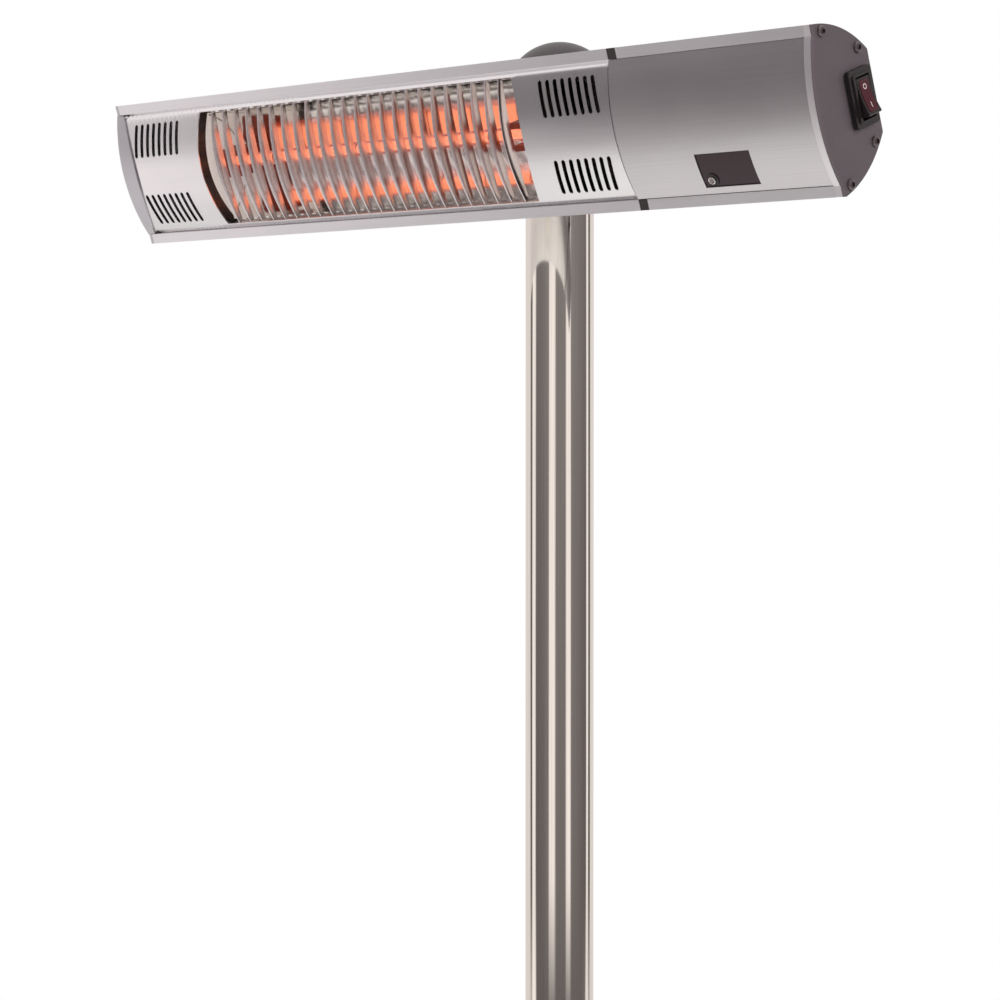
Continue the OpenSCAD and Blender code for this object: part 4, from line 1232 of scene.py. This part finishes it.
@dataclass
class LampUnit(SubAssembly):
    """Polished trough, its end plates, the quartz lamp and what holds it."""

    lamp_v: float = 20.0
    coil_r: float = 2.9
    wire_r: float = 0.45
    coil_pitch: float = 1.5
    support_count: int = 6
    support_r: float = 4.1
    support_t: float = 0.7
    plate_t: float = 1.0
    panel_back: float = 1.1
    plate_front: float = 7.9
    trough_half: float = 42.0
    trough_t: float = 1.2
    edge_half: float = 40.5
    edge_steps: int = 32
    edge_bow: float = 0.0075
    edge_t: float = 0.4
    edge_least_w: float = 0.4
    liner_share: float = 0.7

    def build(self) -> None:
        """Builds the lamp's pieces."""
        self.soften("reflector_trough", TROUGH_METAL, 0.15)
        self.soften("trough_end_plates", DARK_STEEL, 0.2)
        self.soften("lamp_tube", QUARTZ, 0.2)
        # The holders carry a painted red glow.
        self.soften("lamp_holders", HOLDER_PAINTED_GLOW, 0.6)
        self.coil()
        self.supports()
        self.end_edges()
        self.dress({"lamp_end_caps": STEATITE, "lamp_leads": SLEEVING})

    def on_lamp(self, x: float) -> Matrix:
        """Frame on the lamp's axis at a place along the head, with Z along the lamp."""
        return self.head.matrix @ shifted(x, self.lamp_v) @ Matrix.Rotation(math.pi / 2, 4, "Y")

    def coil(self) -> None:
        """The glowing coil in the tube."""
        low, high = self.box("lamp_filament")
        coil = Coil(self.coil_r, self.wire_r, high.x - low.x, self.coil_pitch)
        made = coil.wind("lamp_coil", FILAMENT)
        made.data.transform(self.on_lamp(low.x))
        self.seat(made, FILAMENT, "lamp_filament")

    def supports(self) -> None:
        """Row of thin discs that hold the coil in the middle of the tube."""
        low, high = self.box("lamp_filament")
        pitch = (high.x - low.x) / (self.support_count + 1)
        inner, outer, t = self.coil_r + self.wire_r, self.support_r, self.support_t / 2
        outline = [(inner, -t), (outer, -t), (outer, t), (inner, t)]
        disc = lathe("coil_supports", outline, 40, self.on_lamp(low.x + pitch))
        smooth(disc)
        made = Row(self.support_count, Vector((pitch * MM, 0, 0))).fill(disc, COIL_SUPPORT)
        self.seat(made, COIL_SUPPORT, "lamp_filament", replaces=False)

    def end_edges(self) -> None:
        """The brown strip of painted shade and white enamel with painted glow on each end plate.

        Both show in the opening and lie on the plate's inner side. The shade strip follows the back
        of the panel, the seam between the two is bowed, and the enamel ends at the trough.
        """
        low, high = self.box("trough_end_plates")
        inner_r = arc_radius(self.head.panel_half, self.head.bulge) - self.panel_back
        trough_low, trough_high = self.box("reflector_trough")
        bowl_r = arc_radius(self.trough_half, trough_high.y - trough_low.y) - self.trough_t
        bowl = trough_high.y - self.trough_t - bowl_r
        steps = range(self.edge_steps + 1)
        heights = [self.edge_half * (2 * n / self.edge_steps - 1) for n in steps]
        front = [inner_r - self.plate_front - math.sqrt(inner_r**2 - z**2) for z in heights]
        seam = [self.edge_bow * z**2 for z in heights]
        back = [bowl + math.sqrt(bowl_r**2 - z**2) for z in heights]
        for side, x, t in (
            ("left", low.x + self.plate_t, self.edge_t),
            ("right", high.x - self.plate_t, -self.edge_t),
        ):
            edge, liner = list(zip(heights, front, seam)), list(zip(heights, seam, back))
            # A strip of painted shade, and white enamel with a painted glow.
            self.strip(f"{side}_plate_edge", x, t, edge, PAINTED_SHADE_STRIP)
            self.strip(f"{side}_plate_liner", x, self.liner_share * t, liner, WHITE_PLATE_PAINTED_GLOW)

    def strip(
        self, name: str, x: float, inwards: float, depths: Iterable[Sequence[float]],
        finish: Finish,
    ) -> None:
        """A thin upright strip on the inner side of an end plate.

        Args:
            name: Name of the piece.
            x: Place of the plate's inner side.
            inwards: Thickness, with the sign of the way in.
            depths: Height, and depth of the front and of the rear edge there.
            finish: Its finish.
        """
        points, faces = [], []
        for z, v, w in depths:
            w = max(w, v + self.edge_least_w)
            points += [(x, v, z), (x, w, z), (x + inwards, v, z), (x + inwards, w, z)]
        last, sides = len(points) - 4, ((0, 1), (1, 3), (3, 2), (2, 0))
        for a in range(0, last, 4):
            faces += [(a + i, a + j, a + 4 + j, a + 4 + i) for i, j in sides]
        faces += [(0, 1, 3, 2), (last, last + 2, last + 3, last + 1)]
        made = mesh_object(name, points, faces, self.head.matrix)
        close_up(made)
        self.seat(ease_edges(made, 0.08, 1, 50), finish, "trough_end_plates", replaces=False)


@dataclass
class Controls(SubAssembly):
    """Control cover, window, lens, switch and the electrics behind them."""

    cover_sink: float = 0.3
    front_v: float = -9.0
    fold_gap: float = 0.01
    window_z: float = -30.5
    window_h: float = 24.0
    window_over: float = 3.0
    lens_x: float = 7.5
    lens_z: float = -37.0
    ring_r: float = 2.25
    ring_h: float = 1.6
    ring_t: float = 0.42
    dome_foot: Point2 = (1.9, 1.5)
    dome_r: float = 2.3

    @property
    def bend(self) -> Bend:
        """Profile of the cover: its bulge, the step back behind the lip and the tab."""
        edge = self.head.fold_edge
        radius = arc_radius(edge, self.cover_sink - self.front_v)
        return Bend(self.front_v + radius, radius, edge - self.fold_gap, self.head.tab)

    def build(self) -> None:
        """Builds the control section's pieces."""
        self.cover()
        self.soften("indicator_window", SMOKED, 0.2)
        self.lens()
        self.soften("switch_housing", SWITCH_PLASTIC, 0.5)
        self.soften("switch_gasket", RUBBER, 0.2)
        self.dress({"switch_terminals": BRASS, "board_pillars": BRASS, "control_board": BOARD})
        self.dress({"board_components": RELAY, "terminal_block": STEATITE})
        self.dress({"tip_over_switch": BLACK_PLASTIC})

    def lens(self) -> None:
        """The indicator: a dark bezel, a bright ring in it and a clear dome."""
        self.soften("indicator_lens", BLACK_PLASTIC, 0.35)
        x = self.box("indicator_window")[0].x + self.window_over + self.lens_x
        radius = self.bend.radius - self.head.sheet
        lean = Matrix.Rotation(math.asin(-self.lens_z / radius), 4, "X")
        out = Matrix.Rotation(math.pi / 2, 4, "X")
        place = self.head.matrix @ shifted(x, self.bend.centre) @ lean @ shifted(0, -radius) @ out
        wire = arc((self.ring_r, self.ring_h), self.ring_t, 0, 345, 23)
        ring = lathe("lens_ring", wire, 48, place)
        smooth(ring, 60)
        self.seat(ring, BRIGHT_PLATE, "indicator_lens", replaces=False)
        foot, top = self.dome_foot, arc((0.0, 0.2), self.dome_r, 40, 90, 10)
        dome = lathe("lens_dome", [foot, *top, (0.0, foot[1])], 40, place)
        smooth(dome)
        self.seat(dome, LENS, "indicator_lens", replaces=False)

    def cover(self) -> None:
        """The brushed control cover with the window's cut-out."""
        low, high = self.box("control_cover")
        pane_low, pane_high = self.box("indicator_window")
        x0, x1 = pane_low.x + self.window_over, pane_high.x - self.window_over
        s0, s1 = (self.bend.along(self.window_z + side * self.window_h / 2) for side in (-1, 1))
        hole = [(x0, s0), (x1, s0), (x1, s1), (x0, s1)]
        sheet = BentSheet("control_cover_sheet", self.bend, low.x, high.x, self.head.sheet)
        self.seat(sheet.make([hole], self.head.matrix), BRUSHED_COVER, "control_cover")


@dataclass
class Rocker(SubAssembly):
    """The switch's rocker: a black body with a red face and its two marks."""

    body: Body = Body.ROCKER
    axis_x: float = 331.0
    axis_v: float = 34.0
    rest_deg: float = -13.0
    half_len: float = 12.5
    half_w: float = 7.0
    crown: float = 3.4
    rise: float = 4.8
    rim: float = 2.0
    corner_r: float = 2.2
    corner_steps: int = 10
    straight_steps: int = 8
    face_h: float = 0.3
    face_sink: float = 0.3
    mark_from_axis: float = 6.0
    mark_h: float = 0.12
    ring_inner: float = 1.25
    ring_outer: float = 1.85
    bar_half_len: float = 1.8
    bar_half_w: float = 0.32

    @property
    def face_r(self) -> float:
        """Radius of the rocker's hollow face."""
        return arc_radius(self.half_len, self.rise - self.crown)

    @property
    def place(self) -> Matrix:
        """Frame of the rocker at rest: X outwards, Y backwards, Z along it."""
        turn = Matrix.Rotation(math.radians(self.rest_deg), 4, "Y")
        return self.head.matrix @ shifted(self.axis_x, self.axis_v) @ turn

    def build(self) -> None:
        """Builds the rocker's pieces."""
        self.soften("switch_rocker", SWITCH_PLASTIC, 0.5, 3)
        # The red face has a faint painted glow.
        self.seat(self.face(), RED_ROCKER_PAINTED_GLOW, "switch_rocker", replaces=False)
        for mark in (self.off_mark(), self.on_mark()):
            self.seat(mark, MARK_WHITE, "switch_rocker", replaces=False)

    def reach(self, z: float) -> float:
        """Height of the hollow face over the axis at a place along the rocker."""
        return self.crown + self.face_r - math.sqrt(self.face_r**2 - z**2)

    def on_face(self, z: float) -> Matrix:
        """Frame on the red face, with Z outwards and X along the rocker."""
        spot = shifted(self.reach(z) + self.face_h, 0, z)
        tilt = math.pi / 2 + math.asin(z / self.face_r)
        return self.place @ spot @ Matrix.Rotation(tilt, 4, "Y")

    def face(self) -> Object:
        """The red plate with round corners, laid in the rocker's hollow face."""
        half_len, half_w, r = self.half_len - self.rim, self.half_w - self.rim, self.corner_r
        step = 90 / self.corner_steps
        bend = [math.sin(math.radians(step * n)) for n in range(1, self.corner_steps + 1)]
        high = [n * (half_len - r) / self.straight_steps for n in range(self.straight_steps + 1)]
        high += [half_len - r + r * s for s in bend]
        stations = [-z for z in reversed(high[1:])] + high
        points = []
        for z in stations:
            over = max(0.0, abs(z) - half_len + r)
            w = max(half_w - r + math.sqrt(max(r**2 - over**2, 0.0)), 0.05)
            low, top = self.reach(z) - self.face_sink, self.reach(z) + self.face_h
            points += [(low, -w, z), (top, -w, z), (top, w, z), (low, w, z)]
        made = mesh_object("rocker_red_face", points, tube_faces(len(stations), 4), self.place)
        close_up(made)
        return ease_edges(made, 0.2, 2, 50)

    def off_mark(self) -> Object:
        """The ring of the OFF mark."""
        inner, outer, h = self.ring_inner, self.ring_outer, self.mark_h
        outline = [(inner, 0.0), (outer, 0.0), (outer, h), (inner, h)]
        made = lathe("rocker_off_mark", outline, 40, self.on_face(self.mark_from_axis))
        smooth(made)
        return made

    def on_mark(self) -> Object:
        """The bar of the ON mark."""
        a, b, h = self.bar_half_len, self.bar_half_w, self.mark_h
        points = [(x, y, z) for z in (-h, h) for x, y in ((-a, -b), (a, -b), (a, b), (-a, b))]
        place = self.on_face(-self.mark_from_axis)
        made = mesh_object("rocker_on_mark", points, tube_faces(2, 4), place)
        close_up(made)
        return ease_edges(made, 0.1, 2, 50)


# --- Studio ---


@dataclass(frozen=True)
class Studio:
    """Camera, pale floor and plain studio light.

    The backdrop is white. Dark flags stand left and right of the camera, as a photographer places
    them to draw the edges of polished metal; only glossy surfaces see them.
    """

    camera_place: tuple[float, float, float] = (1.3413, -1.5658, 1.7764)
    camera_tilt_deg: float = 88.62
    camera_turn_deg: float = 41.8
    lens_mm: float = 101.16
    floor_r: float = 3.0
    floor_lift: float = 0.28
    soft_light: float = 0.55
    lamp_size: float = 1.6
    lamp_reach: float = 2.6
    lamp_h: float = 3.2
    aim_h: float = 1.6

    def build(self) -> None:
        """Builds the studio."""
        bpy.context.scene.view_settings.view_transform = "Standard"
        self.camera()
        self.world()
        self.floor()
        self.lights()

    def camera(self) -> None:
        """The camera at the photograph's viewing angle."""
        data = bpy.data.cameras.new("camera")
        data.lens, data.sensor_width = self.lens_mm, 36.0
        made = linked("camera", data)
        made.location = self.camera_place
        turn = (self.camera_tilt_deg, 0, self.camera_turn_deg)
        made.rotation_euler = [math.radians(a) for a in turn]
        bpy.context.scene.camera = made

    def world(self) -> None:
        """White backdrop with the dark flags, and an even light for dull surfaces."""
        world = bpy.data.worlds.new("studio")
        bpy.context.scene.world = world
        tree = empty_tree(world)
        way = add_node(tree, "ShaderNodeTexCoord").outputs["Generated"]
        split = add_node(tree, "ShaderNodeSeparateXYZ", {0: way}).outputs
        front = add_node(tree, "ShaderNodeMath", {0: split[1], 1: -1.0}, operation="MULTIPLY")
        sides = {0: split[0], 1: front.outputs[0]}
        turn = add_node(tree, "ShaderNodeMath", sides, operation="ARCTAN2")
        around = self.share_of(tree, turn.outputs[0], math.pi)
        rise = add_node(tree, "ShaderNodeMath", {0: split[2]}, operation="ARCSINE").outputs[0]
        upright = self.share_of(tree, rise, math.pi / 2)
        shade = add_node(tree, "ShaderNodeValToRGB", {0: upright}, stops=self.height_stops())
        layers = {0: 1.0, 6: self.belted(tree, around, rise), 7: shade.outputs[0]}
        both = add_node(tree, "ShaderNodeMix", layers, data_type="RGBA", blend_type="SCREEN")
        rays = add_node(tree, "ShaderNodeLightPath").outputs
        white = (1, 1, 1, 1)
        seen = add_node(tree, "ShaderNodeBackground", {"Color": white, "Strength": 1.0})
        mirrored = add_node(tree, "ShaderNodeBackground", {"Color": both.outputs[2]})
        soft = add_node(tree, "ShaderNodeBackground", {"Color": white, "Strength": self.soft_light})
        choice = {0: rays["Is Glossy Ray"], 1: soft.outputs[0], 2: mirrored.outputs[0]}
        glossy = add_node(tree, "ShaderNodeMixShader", choice)
        straight = {0: rays["Is Camera Ray"], 1: rays["Is Transmission Ray"]}
        plain = add_node(tree, "ShaderNodeMath", straight, operation="MAXIMUM")
        choice = {0: plain.outputs[0], 1: glossy.outputs[0], 2: seen.outputs[0]}
        out = add_node(tree, "ShaderNodeMixShader", choice)
        add_node(tree, "ShaderNodeOutputWorld", {"Surface": out.outputs[0]})

    @staticmethod
    def share_of(tree: Tree, angle: Socket, end: float) -> Socket:
        """Maps an angle from -end to end in radians to a share from 0 to 1."""
        ends = {"Value": angle, "From Min": -end, "From Max": end}
        return add_node(tree, "ShaderNodeMapRange", ends).outputs[0]

    def belted(self, tree: Tree, around: Socket, rise: Socket) -> Socket:
        """Mixes the studio's belts by elevation.

        Args:
            tree: The world's node tree.
            around: Azimuth, from 0 to 1.
            rise: Elevation in radians.

        Returns:
            The colour socket.
        """
        belts = self.belts()
        ramp_kind = "ShaderNodeValToRGB"
        ramps = [add_node(tree, ramp_kind, {0: around}, stops=stops) for _, stops in belts]
        colour = ramps[0].outputs[0]
        for (low, _), (high, _), ramp in zip(belts, belts[1:], ramps[1:]):
            ends = {"Value": rise, "From Min": math.radians(low), "From Max": math.radians(high)}
            share = add_node(tree, "ShaderNodeMapRange", ends).outputs[0]
            mix = {0: share, 6: colour, 7: ramp.outputs[0]}
            colour = add_node(tree, "ShaderNodeMix", mix, data_type="RGBA").outputs[2]
        return colour

    def belts(self) -> list[tuple[float, list[tuple[float, str]]]]:
        """Brightness round the horizon at several elevations, from the floor up.

        The belts high up have the narrow dark and bright stripes that the column mirrors. The lower
        ones are calmer: a broad dark field in front of the camera, which the bulged panels mirror.

        Returns:
            Elevation in degrees of each belt, with places from 0 to 1 for azimuths from -180 to
            180 degrees and their colours.
        """
        c = self.camera_turn_deg
        low = [
            (-180, 210), (-75, 218), (-50, 212), (-40, 206), (c, 200), (c + 100, 212), (180, 210),
        ]
        middle = [
            (-180, 205), (-75, 222), (-57, 250), (-53, 244), (-50, 202), (-48, 160), (-46, 143),
            (-43, 134), (-40, 122), (-36, 112), (-20, 108), (c + 80, 112), (c + 96, 150),
            (c + 100, 226), (c + 116, 216), (180, 205),
        ]
        high = [
            (-180, 215), (-75, 226), (-62, 255), (-48, 255), (-46, 205), (-44.5, 128), (-42, 108),
            (-38, 104), (-20, 102), (c + 80, 104), (c + 96, 128), (c + 99, 244), (c + 116, 226),
            (180, 215),
        ]
        flags = [
            (-180, 225), (-77, 225), (-75, 92), (-66, 92), (-63.5, 252), (-51, 250), (-46, 94),
            (-20, 102), (c - 38.5, 120), (c - 36.5, 246), (c - 18.5, 250), (c - 13.5, 116),
            (c + 18.5, 114), (c + 22, 250), (c + 35.5, 250), (c + 38, 120), (c + 100, 92),
            (c + 103.5, 252), (c + 111, 252), (c + 114, 86), (c + 123, 86), (c + 127, 230),
            (180, 225),
        ]
        heights = ((-43.0, low), (-24.0, middle), (-16.0, high), (-10.0, flags))
        return [
            (height, [((a + 180) / 360, studio_grey(level)) for a, level in marks])
            for height, marks in heights
        ]

    def height_stops(self) -> list[tuple[float, str]]:
        """Light added by height, as places from 0 to 1 for elevations from -90 to 90 degrees."""
        marks = (
            (-90, "#000000"), (-14, "#000000"), (2, "#302c2e"), (30, "#5a5858"), (60, "#e0dcda"),
            (90, "#f4f0ee"),
        )
        return [((e + 90) / 180, colour) for e, colour in marks]

    def floor(self) -> None:
        """A pale round floor that stays outside the photograph's view.

        It is lifted to the backdrop's white for the camera only, so that metal mirrors it as it is.
        """
        outline = [(0.0, 0.0), (self.floor_r / MM, 0.0)]
        disc = lathe("studio_floor", outline, 96, Matrix.Identity(4), False)
        made = bpy.data.materials.new("pale_floor")
        tree = empty_tree(made)
        seen = add_node(tree, "ShaderNodeLightPath").outputs["Is Camera Ray"]
        lift = add_node(tree, "ShaderNodeMath", {0: seen, 1: self.floor_lift}, operation="MULTIPLY")
        matt = add_node(tree, "ShaderNodeBsdfDiffuse", {"Color": linear("#f4f2f0")})
        glow = add_node(tree, "ShaderNodeEmission", {"Strength": lift.outputs[0]})
        both = add_node(tree, "ShaderNodeAddShader", {0: matt.outputs[0], 1: glow.outputs[0]})
        add_node(tree, "ShaderNodeOutputMaterial", {"Surface": both.outputs[0]})
        disc.data.materials.append(made)

    def lights(self) -> None:
        """Two large soft lamps, left and right of the camera, that polished metal doesn't show."""
        for name, azimuth, watts in (("key_light", -10.0, 60.0), ("fill_light", 95.0, 35.0)):
            data = bpy.data.lights.new(name, "AREA")
            data.shape, data.size, data.energy = "DISK", self.lamp_size, watts
            made = linked(name, data)
            a, r = math.radians(azimuth), self.lamp_reach
            made.location = (r * math.sin(a), -r * math.cos(a), self.lamp_h)
            aim = Vector((0, 0, self.aim_h)) - Vector(made.location)
            made.rotation_euler = aim.to_track_quat("-Z", "Y").to_euler()
            made.visible_glossy = False


def main() -> None:
    """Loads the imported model, builds every sub-assembly and reports its pieces."""
    logging.basicConfig(level=logging.INFO, format="%(message)s")
    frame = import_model()
    Studio().build()
    head = HeadFrame()
    for assembly in (Stand, Knob, Housing, FrontGrille, LampUnit, Controls, Rocker):
        assembly(frame["nodes"], head).build()


if __name__ == "__main__":
    main()
